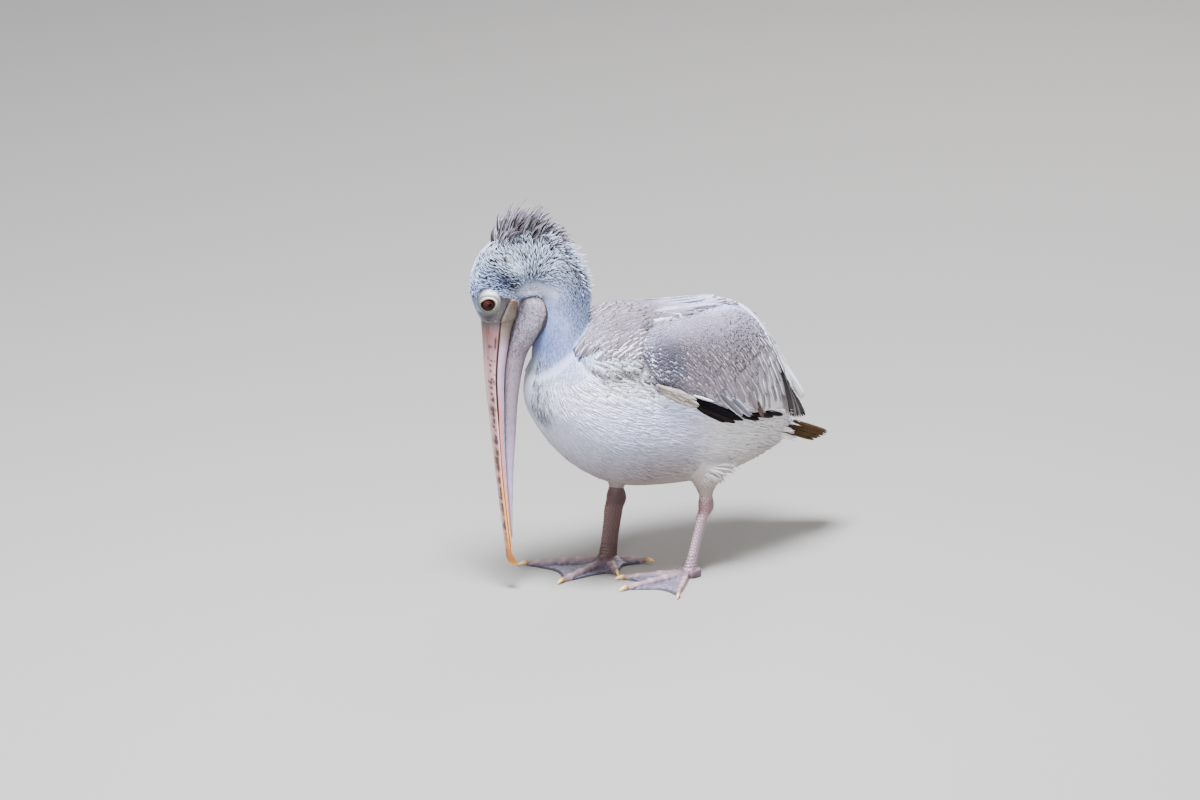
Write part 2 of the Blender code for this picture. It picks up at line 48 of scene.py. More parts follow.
# ------------------------------------------------------------------ stations, the same as the solids'
TRUNK = (  # y, height of back and belly, half width
    (-187, 276, 256, 10), (-182, 296, 238, 31), (-166, 318, 213, 52), (-138, 339, 178, 71),
    (-102, 355, 147, 85), (-57, 361, 124, 92), (0, 357, 114, 93), (60, 349, 110, 88),
    (110, 331, 113, 78), (150, 296, 120, 62), (184, 242, 130, 44), (208, 200, 141, 28), (226, 174, 151, 13),
)
NECK_AXIS_Y = -137
HEAD_NECK = (  # throat forward and height, crown forward and height, half width, turn, x of the axis
    (54, 367, 104, 367, 21, 20, -8), (50, 381, 112, 384, 24.5, 20, -8), (47, 392, 117, 404, 27.5, 20, -8),
    (44.5, 399, 116, 426, 29.5, 20, -8), (42.5, 402, 107, 449, 31.5, 20, -8),
    (41, 403.5, 88, 468, 33, 20, -8),
    (39.5, 404, 62, 479, 34, 20, -8), (38, 404, 34, 480, 35, 20, -8), (37, 403, 6, 471, 35.5, 20, -8),
    (36, 400, -18, 452, 36, 20, -8), (35.5, 394, -34, 424, 36, 20, -8), (36, 383, -40, 394, 36, 18, -7),
    (37, 366, -40, 366, 36, 15, -6), (40, 335, -38, 336, 37, 9, -4), (44, 302, -38, 304, 39, 4, -2),
    (46, 268, -42, 268, 41, 1, 0), (38, 240, -45, 225, 38, 0, 0),
)
HEAD_TURN = 20
HEAD_SIDE = -8
BILL = (  # height, forward places of ridge, mouth and lower edge, half width
    (366.6, 102, 82, 59, 19.5), (345, 100.5, 84, 65, 19), (295, 97.5, 87, 72.5, 17),
    (245, 92.5, 84.5, 73, 15),
    (207, 88.5, 82, 72.5, 13.5), (150, 82.3, 77.3, 69.5, 11.5), (87, 74.5, 70.3, 65, 10.5),
    (58, 70.5, 66.8, 62.5, 9.3),
)
NAIL = (  # height, forward places of ridge and underside, half width
    (58.4, 70.5, 66.4, 9.2), (49, 68.8, 64.3, 8.4), (41, 66.2, 61, 6.4), (36, 64, 59.4, 4), (33, 62, 59, 1.3),
)
POUCH = (  # height, forward places of front and rear, half width
    (398, 50, 27, 24), (390, 55, 19, 30), (375, 57, 14.5, 33), (358, 61, 19, 32), (342, 64.5, 30, 27),
    (325, 67.5, 41, 20), (298, 71.5, 48.5, 14), (256, 72.2, 54.5, 9.5), (207, 71.7, 57.5, 7.5),
    (163, 69.8, 60.3, 6.3), (100, 65.8, 62, 5), (72, 63.2, 61, 3.4),
)
EYE = (17.2, 98, 394.5)  # sideways, forward, height in the head's frame
EYE_RADIUS = 9.8
WING = (  # y, lower and upper edge in degrees up from the side, thickness
    (-60, 31, 42, 3), (-54, 23, 51, 9), (-40, 17, 57, 13), (-12, 12, 61, 15), (24, 8, 65, 14),
    (70, 1, 72, 12), (120, -8, 81, 9.5), (160, -9.5, 86, 7.5), (192, -8, 88, 5.5),
)
WING_BED = (  # y, top, bottom and half width of the rings under the folded wing's rear
    (60, 352, 109, 89), (110, 345, 112, 80), (150, 322, 118, 69), (180, 284, 128, 56), (206, 246, 142, 42),
    (240, 220, 160, 30),
)
MANTLE = (  # y, lower edge in degrees up from the side, thickness
    (-142, 52, 1.5), (-128, 31, 3), (-104, 24, 4), (-78, 26, 4.5), (-60, 45, 5), (-44, 60, 5), (-12, 64, 5),
    (40, 71, 4.5), (100, 80.5, 3.5), (124, 86, 1.5),
)
TAIL_ROOT = (150, 178)  # y and height
TAIL_TIP = (283, 146)
TAIL_HALF_WIDTH = 36
TAIL_DROOP = 6
LEGS = {  # turn of the shank, painted light and shade on its skin (the left shank painted lit, the right one painted in shade and browner), and each toe's name, turn from straight ahead and length
    "left": dict(
        # light=(1.52, 1.52, 1.52) brightens the left shank: painted light
        ankle=(53, 28, 10), hock=(50, 54, 88), thigh=(46, 60, 150), turn=35, light=(1.52, 1.52, 1.52),
        toes=(("outer", 46, 94), ("middle", 3, 104), ("inner", -22, 88), ("hind", -121, 50)),
    ),
    "right": dict(
        # light=(0.56, 0.43, 0.33) darkens and browns the right shank: painted shade
        ankle=(-53, -28, 10), hock=(-50, -18, 88), thigh=(-46, -9, 150), turn=-14, light=(0.56, 0.43, 0.33),
        toes=(("outer", -28, 106), ("middle", 21, 104), ("inner", 68, 52), ("hind", 145, 50)),
    ),
}
WEB_THICKNESS = 2.2
TOE_RADIUS = 6.0
CLAW_LENGTH = 12
ANKLE_CAP = 8.0  # radius of the flat cap under the ankle, where the foot's rays start


# ------------------------------------------------------------------ curves and surfaces
def along(stations, t):
    """Rows on the smooth curve (Catmull-Rom) through evenly numbered stations; t runs 0 to 1."""
    rows = np.asarray(stations, float)
    place = np.clip(np.asarray(t, float), 0, 1) * (len(rows) - 1)
    i = np.minimum(place.astype(int), len(rows) - 2)
    f = (place - i)[..., None]
    a, b, c, d = rows[np.maximum(i - 1, 0)], rows[i], rows[i + 1], rows[np.minimum(i + 2, len(rows) - 1)]
    return 0.5 * (2 * b + (c - a) * f + (2 * a - 5 * b + 4 * c - d) * f**2 + (3 * b - a - 3 * c + d) * f**3)


def at(stations, value):
    """Rows where the first column, which rises, equals value."""
    t = np.linspace(0, 1, 400)
    return along(stations, np.interp(value, along(stations, t)[:, 0], t))


def power(value, exponent):
    """The value's size raised to exponent, with its sign kept."""
    return np.sign(value) * np.abs(value) ** exponent


def turns(count):
    """Angles evenly spread over one full turn."""
    return np.arange(count) * 2 * np.pi / count


def ease(value, start, end):
    """0 below start, 1 above end, and a smooth step between them."""
    x = np.clip((value - start) / (end - start), 0, 1)
    return x * x * (3 - 2 * x)


def bell(value, centre, width):
    """1 at centre, falling off on both sides as a bell of that width."""
    return np.exp(-(((value - centre) / width) ** 2))


def mix(a, b, share):
    """Rows of a where share is 0, rows of b where it is 1, and a blend between."""
    return a + (b - a) * np.asarray(share)[..., None]


def layered(tint, coats):
    """Screen colours laid over a tint in turn, each by its own share."""
    for colour, share in coats:
        tint = mix(tint, ink(*colour), share)
    return tint


def unit(vectors):
    """Vectors brought to a length of 1."""
    return vectors / np.maximum(np.linalg.norm(vectors, axis=-1, keepdims=True), 1e-9)


def flat_to(vectors, normal):
    """The part of each vector that lies in the plane across its normal, at unit length."""
    vectors = np.broadcast_to(vectors, normal.shape)
    return unit(vectors - normal * np.sum(vectors * normal, axis=-1, keepdims=True))


def ink(red, green, blue):
    """Albedo that shows as the given screen levels of 0 to 255 in the stage's light: light goes as
    (level / (1 - level)) ** 1.25 under the film-like view, a lit side gets BRIGHT, and the palest are
    drawn in below 0.95."""
    level = np.array([red, green, blue]) / 255
    light = 0.2165 * (level / (1 - level)) ** 1.25 / BRIGHT
    return light / (1 + (light / 0.95) ** 3) ** (1 / 3)


def from_head(side, forward, height, turn=HEAD_TURN, axis_x=HEAD_SIDE):
    """Points of the head's own frame, turned about the neck's upright axis."""
    angle = np.radians(turn)
    x = axis_x + side * np.cos(angle) - forward * np.sin(angle)
    y = NECK_AXIS_Y - side * np.sin(angle) - forward * np.cos(angle)
    return np.stack(np.broadcast_arrays(x, y, height), axis=-1)


def head_way(side, forward, height):
    """Directions of the head's own frame."""
    return from_head(side, forward, height) - from_head(0, 0, 0)


def to_head(points):
    """Sideways, forward and height of points in the head's frame."""
    angle = np.radians(HEAD_TURN)
    x, y = points[..., 0] - HEAD_SIDE, points[..., 1] - NECK_AXIS_Y
    return x * np.cos(angle) - y * np.sin(angle), -x * np.sin(angle) - y * np.cos(angle), points[..., 2]


def body_ring(top, bottom, half, angle, grow=0.0):
    """Sideways and height on a superellipse, angle measured up from the side."""
    x = (half + grow) * power(np.cos(angle), 2 / FULL)
    return x, (top + bottom) / 2 + ((top - bottom) / 2 + grow) * power(np.sin(angle), 2 / FULL)


def trunk_rings(t, count, grow):
    """The trunk's rings at station shares t, each with count points, grown outwards and along."""
    y, top, bottom, half = (column[:, None] for column in along(TRUNK, t).T)
    x, z = body_ring(top, bottom, np.maximum(half, 4 - grow), turns(count)[None, :], grow)
    return np.stack(np.broadcast_arrays(x, y + grow * (2 * np.asarray(t)[:, None] - 1), z), axis=-1)


def neck_rings(t, count, grow):
    """Rings between the throat line and the crown line, turned with the head."""
    rows = along(HEAD_NECK, t)
    throat, crown = rows[:, None, 0:2], rows[:, None, 2:4]
    half, turn, axis_x = rows[:, 4, None], rows[:, 5, None], rows[:, 6, None]
    angle = turns(count)[None, :]
    depth = np.linalg.norm(crown - throat, axis=-1, keepdims=True) / 2
    stretch = (1 + grow / depth[..., 0]) * np.cos(angle)
    line = (throat + crown) / 2 + (crown - throat) / 2 * stretch[..., None]
    return from_head((half + grow) * np.sin(angle), line[..., 0], line[..., 1], turn, axis_x)


def bed_rows(y):
    """The body's rings as the wing lies on them: the trunk's in front, the wing's own bed behind."""
    return mix(at(TRUNK, y), at(WING_BED, y), ease(y, 42, 84))


def wing_bed(y, angle, grow):
    """Points of the bed that wing and mantle lie on, at y and angle up from the side, left half."""
    rows = bed_rows(y)
    x, z = body_ring(rows[..., 1], rows[..., 2], rows[..., 3], angle, grow)
    return np.stack(np.broadcast_arrays(x, y, z), axis=-1)


def wing_skin(y, across, depth=0.0):
    """The folded wing's outer face, depth below it; across is 0 at the lower edge, 1 at the upper one."""
    rows = at(WING, y)
    angle = np.radians(rows[..., 1] + (rows[..., 2] - rows[..., 1]) * across)
    swell = 1.5 + (rows[..., 3] - 1.5) * np.sin(np.pi * np.clip(across, 0.0, 1.0)) ** 0.55
    return wing_bed(y, angle, BED + swell - depth)


def mirrored(points, sign):
    """Points of the left half where sign is 1, and of the right half where it is -1."""
    return points * (sign, 1, 1)


# ------------------------------------------------------------------ meshes
def placed(name, data):
    """A new object of the scene made from data."""
    made = bpy.data.objects.new(name, data)
    bpy.context.scene.collection.objects.link(made)
    return made


def face_outwards(mesh):
    """Turns the faces of closed bodies outwards."""
    shape = bmesh.new()
    shape.from_mesh(mesh)
    bmesh.ops.recalc_face_normals(shape, faces=shape.faces)
    shape.to_mesh(mesh)
    shape.free()


def grid_faces(rows, columns, closed=False):
    """Quads of a grid of points numbered row by row; closed joins the last column to the first."""
    r, c = np.meshgrid(np.arange(rows - 1), np.arange(columns if closed else columns - 1), indexing="ij")
    r, n = r * columns, (c + 1) % columns
    return np.stack([r + c, r + n, r + columns + n, r + columns + c], -1).reshape(-1, 4)


def piece(name, points, faces, paint, replaces=(), marks=None, bake=None, outwards=False):
    """A mesh from points in millimetres and arrays of faces; marks are colours or vectors by point."""
    mesh = bpy.data.meshes.new(name)
    places = (np.asarray(points, float).reshape(-1, 3) - (*CENTRE, 0)) * MM
    corners = np.concatenate([np.asarray(f).ravel() for f in faces]).astype(np.int32)
    sizes = np.concatenate([np.full(len(f), np.asarray(f).shape[1]) for f in faces])
    mesh.vertices.add(len(places))
    mesh.loops.add(len(corners))
    mesh.polygons.add(len(sizes))
    mesh.vertices.foreach_set("co", places.astype(np.float32).ravel())
    mesh.loops.foreach_set("vertex_index", corners)
    mesh.polygons.foreach_set("loop_start", (np.cumsum(sizes) - sizes).astype(np.int32))
    mesh.update(calc_edges=True)
    if outwards:
        face_outwards(mesh)
    for mark, values in (marks or {}).items():
        values = np.asarray(values, np.float32).reshape(len(places), -1)
        if mark == "vane":
            mesh.attributes.new(mark, "FLOAT_VECTOR", "POINT").data.foreach_set("vector", values.ravel())
        else:
            values = np.concatenate([np.clip(values, 0, 1), np.ones((len(values), 1), np.float32)], axis=1)
            mesh.attributes.new(mark, "FLOAT_COLOR", "POINT").data.foreach_set("color", values.ravel())
    if bake is not None:
        layer = mesh.uv_layers.new(name="OFBake")
        layer.data.foreach_set("uv", np.asarray(bake, np.float32)[corners].ravel())
    mesh.shade_smooth()
    mesh.materials.append(paint.material)
    made = placed(name, mesh)
    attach(made, "root")
    if replaces:
        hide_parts(*replaces)


def closed_loft(rings):
    """Points and faces of a body through rings, its two ends closed by fans."""
    rows, columns = rings.shape[:2]
    points = np.concatenate([rings.reshape(-1, 3), [rings[0].mean(0), rings[-1].mean(0)]])
    c = np.arange(columns)
    n = (c + 1) % columns
    last, middle = (rows - 1) * columns, rows * columns
    first_end = np.stack([0 * c + middle, n, c], -1)
    last_end = np.stack([0 * c + middle + 1, last + c, last + n], -1)
    return points, [grid_faces(rows, columns, True), first_end, last_end]


def closed_plate(outer, inner):
    """Points and faces of a plate between two grids, joined round their border."""
    rows, columns = outer.shape[:2]
    count = rows * columns
    points = np.concatenate([outer.reshape(-1, 3), inner.reshape(-1, 3)])
    top = grid_faces(rows, columns)
    grid = np.arange(count).reshape(rows, columns)
    border = np.concatenate([grid[0, :-1], grid[:-1, -1], grid[-1, :0:-1], grid[:0:-1, 0]])
    after = np.roll(border, -1)
    return points, [top, top[:, ::-1] + count, np.stack([after, border, count + border, count + after], -1)]


# ------------------------------------------------------------------ materials
def maths(operation, *terms):
    """One Math node on numbers and sockets."""
    paint = next(term.paint for term in terms if isinstance(term, Socket))
    return paint.node("ShaderNodeMath", {"operation": operation}, dict(enumerate(terms)))


class Socket:
    """A node's output that takes part in sums and products: each operator adds one Math node."""

    def __init__(self, paint, output):
        self.paint, self.output = paint, output

    def other(self, index):
        """Another output of the same node."""
        return Socket(self.paint, self.output.node.outputs[index])

    def __add__(self, term):
        return maths("ADD", self, term)

    def __radd__(self, term):
        return maths("ADD", term, self)

    def __sub__(self, term):
        return maths("SUBTRACT", self, term)

    def __rsub__(self, term):
        return maths("SUBTRACT", term, self)

    def __mul__(self, term):
        return maths("MULTIPLY", self, term)

    def __abs__(self):
        return maths("ABSOLUTE", self)

    def step(self, start, end):
        """0 at start, 1 at end, smooth between."""
        inputs = {0: self, 1: start, 2: end, 3: 0.0, 4: 1.0}
        return self.paint.node("ShaderNodeMapRange", {"interpolation_type": "SMOOTHSTEP"}, inputs)


class Paint:
    """A material: a Principled shader, and one method, node, that makes every other node."""

    def __init__(self, name, **constants):
        self.material = bpy.data.materials.new(name)
        self.material.use_nodes = True
        self.tree = self.material.node_tree
        self.shader = self.tree.nodes["Principled BSDF"]
        for socket, value in constants.items():
            self.shader.inputs[socket.replace("_", " ")].default_value = value

    def node(self, kind, settings=None, inputs=None, output=0):
        """Makes a node with its settings and inputs, and gives one of its outputs."""
        made = self.tree.nodes.new(kind)
        for key, value in (settings or {}).items():
            setattr(made, key, value)
        for key, value in (inputs or {}).items():
            self.feed(made.inputs[key], value)
        return Socket(self, made.outputs[output])

    def feed(self, socket, value):
        """Links a socket to another one's value, or sets its constant."""
        if isinstance(value, Socket):
            self.tree.links.new(value.output, socket)
        elif isinstance(value, np.ndarray):
            socket.default_value = (*value, 1.0) if len(socket.default_value) == 4 else tuple(value)
        else:
            socket.default_value = value

    def noise(self, scale, detail=2.0, where=None, roughness=0.5):
        """Noise from 0 to 1 at a place, or at the object's own points."""
        where = where or self.node("ShaderNodeTexCoord", output=3)
        inputs = {"Vector": where, "Scale": scale, "Detail": detail, "Roughness": roughness}
        return self.node("ShaderNodeTexNoise", {}, inputs)

    def mark(self, name):
        """What the mesh's points hold under that name."""
        return self.node("ShaderNodeAttribute", {"attribute_name": name})

    def vane_place(self):
        """Place across a vane from -1 to 1, share of its length, and its own lot."""
        parts = self.node("ShaderNodeSeparateXYZ", {}, {0: self.mark("vane").other(1)})
        return parts, parts.other(1), parts.other(2)

    def vector(self, x, y, z):
        """A vector from three numbers or sockets."""
        return self.node("ShaderNodeCombineXYZ", {}, {0: x, 1: y, 2: z})

    def blend(self, share, a, b):
        """Colour a where share is 0 and b where it is 1."""
        return self.node("ShaderNodeMix", {"data_type": "RGBA"}, {0: share, 6: a, 7: b}, output=2)

    def shade(self, colour, amount):
        """A colour times a grey level."""
        return self.node("ShaderNodeVectorMath", {"operation": "SCALE"}, {0: colour, "Scale": amount})

    def finish(self, colour, height=None, distance=0.0):
        """Gives the shader its colour, and bumps where height is above 0, distance metres high at 1."""
        self.feed(self.shader.inputs["Base Color"], colour)
        if height is not None:
            bump = self.node("ShaderNodeBump", {}, {"Height": height, "Distance": distance, "Strength": 1.0})
            self.feed(self.shader.inputs["Normal"], bump)


def down_paint():
    """Soft body feathers: the tint held by the points, with fine streaks along each vane."""
    paint = Paint("down", Roughness=0.82, Specular_IOR_Level=0.25)
    across, reach, lot = paint.vane_place()
    streak = paint.noise(2.0, 2.0, paint.vector(across * 3.0 + lot * 50.0, reach * 0.8, lot * 9.0))
    paint.finish(paint.shade(paint.mark("tint"), 0.86 + streak * 0.24))
    return paint


def vane_paint(name, fringe, gloss, barb, tip=0.66, torn=0.35, blur=0.32, shine=0.3):
    """Firm feathers: a centre tint, a paler fringe at edges and tip, a dark shaft and fine slanting barbs.
    The fringe starts at that share of the half width, or beyond tip of the length, torn by noise."""
    paint = Paint(name, Roughness=gloss, Specular_IOR_Level=shine)
    across, reach, lot = paint.vane_place()
    edge = abs(across)
    slant = paint.vector(edge * 1.5 + lot * 40.0, reach * 14.0 - edge * 4.0, lot * 7.0)
    ragged = paint.noise(1.6, 2.0, slant)
    frayed = (ragged - 0.5) * torn
    rim = maths("MAXIMUM", edge + frayed, (reach - tip) * (1.0 / (1.0 - tip)) + frayed)
    colour = paint.blend(rim.step(fringe, fringe + blur), paint.mark("tint"), paint.mark("edge"))
    shaft = (1.0 - edge.step(0.0, 0.16)) * (1.0 - reach.step(0.55, 0.9)) * 0.45
    paint.finish(paint.shade(colour, (0.88 + ragged * 0.24) * (1.0 - shaft)), ragged, 0.0002 * barb)
    return paint


def skin_paint(name, roughness, bump_scale, bump_height, coat=0.0, speckle=0.0):
    """Bare skin or horn: the tint held by the points, wrinkled by noise, with small dark specks if asked."""
    paint = Paint(name, Roughness=roughness, Coat_Weight=coat, Coat_Roughness=0.25)
    fine = paint.noise(bump_scale, 4.0)
    wide = paint.noise(bump_scale * 0.12, 3.0)
    colour = paint.shade(paint.mark("tint"), 0.8 + wide * 0.22 + fine * 0.18)
    if speckle:
        speck = paint.noise(speckle, 2.0, roughness=0.7).step(0.60, 0.68)
        patch = paint.noise(speckle * 0.13, 2.0).step(0.38, 0.6)
        colour = paint.blend(speck * patch * 0.6, colour, ink(58, 48, 56))
    paint.feed(paint.shader.inputs["Roughness"], roughness - 0.12 + fine * 0.24)
    paint.finish(colour, fine + wide * 2.0, bump_height)
    return paint


DOWN = down_paint()
FRINGED = vane_paint("fringed vane", 0.48, 0.6, 0.4, 0.80, 0.3, 0.26)
LONG = vane_paint("long vane", 0.60, 0.5, 0.5, 0.88, 0.14, 0.16)
SLEEK = vane_paint("sleek vane", 0.78, 0.42, 0.6, 0.85, 0.12, 0.18)
GLOSSY = vane_paint("glossy vane", 0.86, 0.5, 0.6, shine=0.06)
HIDE = skin_paint("face and leg skin", 0.55, 900.0, 0.0004)
HORN = skin_paint("bill horn", 0.42, 500.0, 0.00025, coat=0.15)
BAG = skin_paint("pouch skin", 0.5, 700.0, 0.0005, coat=0.05, speckle=420.0)
WEB = skin_paint("web skin", 0.5, 1100.0, 0.0004, coat=0.08)

NAVY = ink(34, 37, 50)
SLATE = ink(122, 120, 130)
SABLE = ink(26, 22, 27)


# ------------------------------------------------------------------ markings
def blob(f, z, centre, size, turn=0.0):
    """A soft spot in the head's side view: 1 at its centre, falling off as a bell."""
    a = np.radians(turn)
    df, dz = f - centre[0], z - centre[1]
    u, v = df * np.cos(a) + dz * np.sin(a), -df * np.sin(a) + dz * np.cos(a)
    return np.exp(-((u / size[0]) ** 2 + (v / size[1]) ** 2))


def head_markings(points):
    """Tip colour of the small feathers on head and neck, and how dark their roots are."""
    s, f, z = to_head(points)
    dark = 0.28 + 0.58 * ease(z, 372, 408)
    dark += 0.9 * blob(f, z, (73, 424), (17, 8), 35) + 0.25 * blob(f, z, (96, 432), (22, 13), 35)
    dark -= 0.80 * blob(f, z, (61, 441), (11, 10)) + 0.45 * blob(f, z, (113, 450), (9, 28))
    dark -= 0.95 * blob(f, z, (40, 410), (34, 11)) + 0.40 * blob(f, z, (12, 365), (15, 52))
    nape = 0.34 * blob(f, z, (-22, 378), (14, 34)) * ease(z, 300, 345)
    dark += nape + 0.85 * blob(f, z, (46, 316), (8, 40))
    dark -= 0.25 * ease(345 - z, 0, 60) * ease(40 - f, 0, 20)
    tip = layered(mix(ink(210, 217, 250), ink(222, 228, 254), ease(z, 405, 440)), (
        ((168, 178, 208), 0.95 * blob(f, z, (22, 334), (30, 64))),
        ((232, 234, 250), ease(292 - z, 0, 26)),
        ((228, 228, 246), 0.85 * blob(f, z, (38, 408), (32, 9))),
        ((76, 80, 98), blob(f, z, (73, 424), (17, 8), 35)),
        ((200, 210, 236), 0.5 * blob(f, z, (94, 430), (24, 13), 35)),
        ((160, 164, 176), 0.7 * blob(f, z, (46, 316), (8, 40))),
    ))
    return tip, np.clip(dark, 0.05, 1.0)


def trunk_markings(points):
    """Tip and root colour of the soft feathers on breast, flanks, belly and rump, with painted light and
    shade in both: tips paler up high and darker underneath, roots darker where the feathers overlap.
    """
    x, y, z = np.moveaxis(points, -1, 0)
    rear = ease(y, -30, 50)
    # paler and bluer higher up, darker and warmer low down: partly the real cream of the lower rear belly,
    # partly painted light from above and painted shade underneath
    tip = mix(ink(220, 222, 236), ink(234, 237, 252), ease(z, 235, 300))
    tip = mix(tip, ink(239, 235, 236), rear * ease(265 - z, 0, 30))
    low = ease(245 - z, 0, 110)
    low = low + (ease(190 - z, 0, 80) - low) * rear
    tip = mix(tip, ink(190, 178, 164), 0.85 * low)
    # roots at 0.72 of the tip: painted shade where the feathers overlap
    return tip, tip * 0.72


def neck_share(points):
    """1 on head and neck, 0 on the trunk, soft where the neck's foot spreads into the breast."""
    x, y, z = np.moveaxis(points, -1, 0)
    column = 1 - ease(np.hypot(x, y - NECK_AXIS_Y), 36, 76)
    return np.maximum(column * ease(z, 250, 338), ease(z, 366, 378))


def plumage(points):
    """Tip and root colour of the feathers everywhere on the body."""
    tip, root = trunk_markings(points)
    head_tip, dark = head_markings(points)
    share = neck_share(points)
    tip = mix(tip, head_tip, share)
    x, y, z = np.moveaxis(points, -1, 0)
    pepper = 0.5 + 0.5 * np.sin(x * 1.3 + 2 * np.sin(z * 0.8)) * np.sin(z * 1.1 + 2 * np.sin(y * 0.9))
    pepper = pepper * ease(-0.57 * x - 0.82 * y, 122, 138) * ease(z, 200, 250) * ease(350 - z, 0, 40)
    tip = mix(tip, ink(96, 102, 112), pepper)
    # roots darker than the tips: on head and neck the real navy roots, blended with tips at 0.72 as painted
    # shade where the feathers overlap
    return tip, mix(root, mix(head_tip * 0.72, NAVY, dark), share)


# ------------------------------------------------------------------ the skin
def upright_rings(rows, count, turn=0.0):
    """Level elliptical rings: x, y, z, half across, half along the turned direction."""
    rows = np.asarray(rows, float)
    angle, ahead = turns(count)[None, :], np.radians(turn)
    side, fore = rows[:, 3, None] * np.cos(angle), rows[:, 4, None] * np.sin(angle)
    x = rows[:, 0, None] + side * np.cos(ahead) + fore * np.sin(ahead)
    y = rows[:, 1, None] + side * np.sin(ahead) - fore * np.cos(ahead)
    return np.stack(np.broadcast_arrays(x, y, rows[:, 2, None]), axis=-1)


def between(a, b, share):
    """The point at that share of the way from a to b."""
    return tuple(np.asarray(a, float) + (np.asarray(b, float) - a) * share)


def thigh_rows(leg, inset, count):
    """Stations of a thigh from inside the flank to just above the hock."""
    hock, thigh = leg["hock"], leg["thigh"]
    return along((
        (*thigh, 30 - inset, 35 - inset),
        (*between(thigh, hock, 0.36), 23 - inset, 28 - inset),
        (*between(thigh, hock, 0.62), 13.5 - inset * 0.7, 17 - inset * 0.7),
        (hock[0] + 1.5, hock[1] + 1, 100, 8.0, 9.0),
    ), np.linspace(0, 1, count))


def flesh_shapes():
    """Closed bodies a little inside the plumage: trunk, neck, wings, mantle, cheeks and thighs."""
    lofts = [closed_loft(trunk_rings(np.linspace(0, 1, 70), 72, -4.5))]
    share = np.linspace(0, 1, 120)
    depth = np.interp(share, (0, 0.1, 0.3, 0.6, 1), (0.5, 1.2, 2.2, 3.0, 4.5))[:, None]
    lofts.append(closed_loft(neck_rings(share, 56, -depth)))
    for sign in (1, -1):
        y, across = np.meshgrid(np.linspace(-57, 186, 60), np.linspace(0.03, 0.97, 30), indexing="ij")
        rows = at(WING, y)
        angle = np.radians(rows[..., 1] + (rows[..., 2] - rows[..., 1]) * across)
        plate = wing_skin(y, across, 3.5), wing_bed(y, angle, -12)
        lofts.append(closed_plate(*(mirrored(face, sign) for face in plate)))
    y, share = np.meshgrid(np.linspace(-136, 118, 60), np.linspace(-0.96, 0.96, 40), indexing="ij")
    rows = at(MANTLE, y)
    spread = np.radians(90 - (90 - rows[..., 1]) * share)
    lofts.append(closed_plate(wing_bed(y, spread, BED + rows[..., 2] - 3.2), wing_bed(y, spread, -12)))
    lean, around = np.meshgrid(np.linspace(0.15, np.pi - 0.15, 16), turns(24), indexing="ij")
    side, height = 25 * np.sin(lean) * np.sin(around), 406 + 11 * np.sin(lean) * np.cos(around)
    lofts.append(closed_loft(from_head(side, 40 + 26 * np.cos(lean), height)))
    for leg in LEGS.values():
        lofts.append(closed_loft(upright_rings(thigh_rows(leg, 3.0, 16), 28, leg["turn"])))
    return lofts


def flesh():
    """The body under the feathers, its shapes grown into one closed skin that is finer on the bare face."""
    points, faces, count = [], [], 0
    for shape, lists in flesh_shapes():
        points.append(shape)
        faces += [np.asarray(f) + count for f in lists]
        count += len(shape)
    mesh = bpy.data.meshes.new("flesh")
    mesh.from_pydata(np.concatenate(points).tolist(), [], [face for f in faces for face in f.tolist()])
    face_outwards(mesh)
    body = placed("flesh", mesh)
    grow = body.modifiers.new("one skin", "REMESH")
    grow.mode, grow.voxel_size, grow.use_smooth_shade = "VOXEL", 2.6, True
    soften = body.modifiers.new("soften", "SMOOTH")
    soften.factor, soften.iterations = 0.5, 8
    grown = body.evaluated_get(bpy.context.evaluated_depsgraph_get())
    made = bpy.data.meshes.new_from_object(grown)
    bpy.data.objects.remove(body)
    fine = bmesh.new()
    fine.from_mesh(made)
    inner = inner_shells(len(made.vertices), read(made.edges, "vertices", 2, np.int32))
    stray = [vertex for vertex, chosen in zip(fine.verts, inner) if chosen]
    bmesh.ops.delete(fine, geom=stray, context="VERTS")
    fine.to_mesh(made)
    points, edges = read(made.vertices, "co", 3), read(made.edges, "vertices", 2, np.int32)
    s, f, z = to_head(((points[edges[:, 0]] + points[edges[:, 1]]) / 2).astype(float))
    near = (z > 362) & (z < 424) & (f > 52)
    on_face = [edge for edge, chosen in zip(fine.edges, near) if chosen]
    bmesh.ops.subdivide_edges(fine, edges=on_face, cuts=2, use_grid_fill=True)
    bmesh.ops.triangulate(fine, faces=[face for face in fine.faces if len(face.verts) > 4])
    fine.normal_update()
    fine.to_mesh(made)
    fine.free()
    return made


def read(items, name, width, kind=np.float32):
    """One property of all vertices, edges or triangles of a mesh, as rows of that width."""
    values = np.empty(len(items) * width, kind)
    items.foreach_get(name, values)
    return values.reshape(-1, width)


def inner_shells(count, edges):
    """Whether each of count vertices lies outside the largest body: every vertex takes the lowest number that
    it can reach along edges, and the commonest number marks the largest body."""
    label, before = np.arange(count), None
    while before is None or (label != before).any():
        before = label.copy()
        low = label[edges].min(axis=1)
        np.minimum.at(label, edges[:, 0], low)
        np.minimum.at(label, edges[:, 1], low)
        label = label[label]
    return label != np.bincount(label).argmax()


def mesh_arrays(mesh):
    """Points, vertex normals and faces as triangles of a mesh."""
    points, normals = (read(mesh.vertices, name, 3).astype(float) for name in ("co", "normal"))
    mesh.calc_loop_triangles()
    return points, normals, read(mesh.loop_triangles, "vertices", 3, np.int32)


def gape_line(z):
    """Forward place of the mouth's line on the face, and of the jaw's rear edge, at height z."""
    return 83.6 - (z - 366.8) * 0.385, 60.0 + (381 - z) * 0.19


def round_eye(f, z):
    """Distance and angle from the eye's middle, and share of the way out to the bare ring's border."""
    df, dz = f - EYE[1], z - EYE[2]
    orbit = np.sqrt(((f - 97.0) / 14.0) ** 2 + ((z - 398) / 18.0) ** 2)
    return np.hypot(df, dz), np.arctan2(dz, -df), orbit


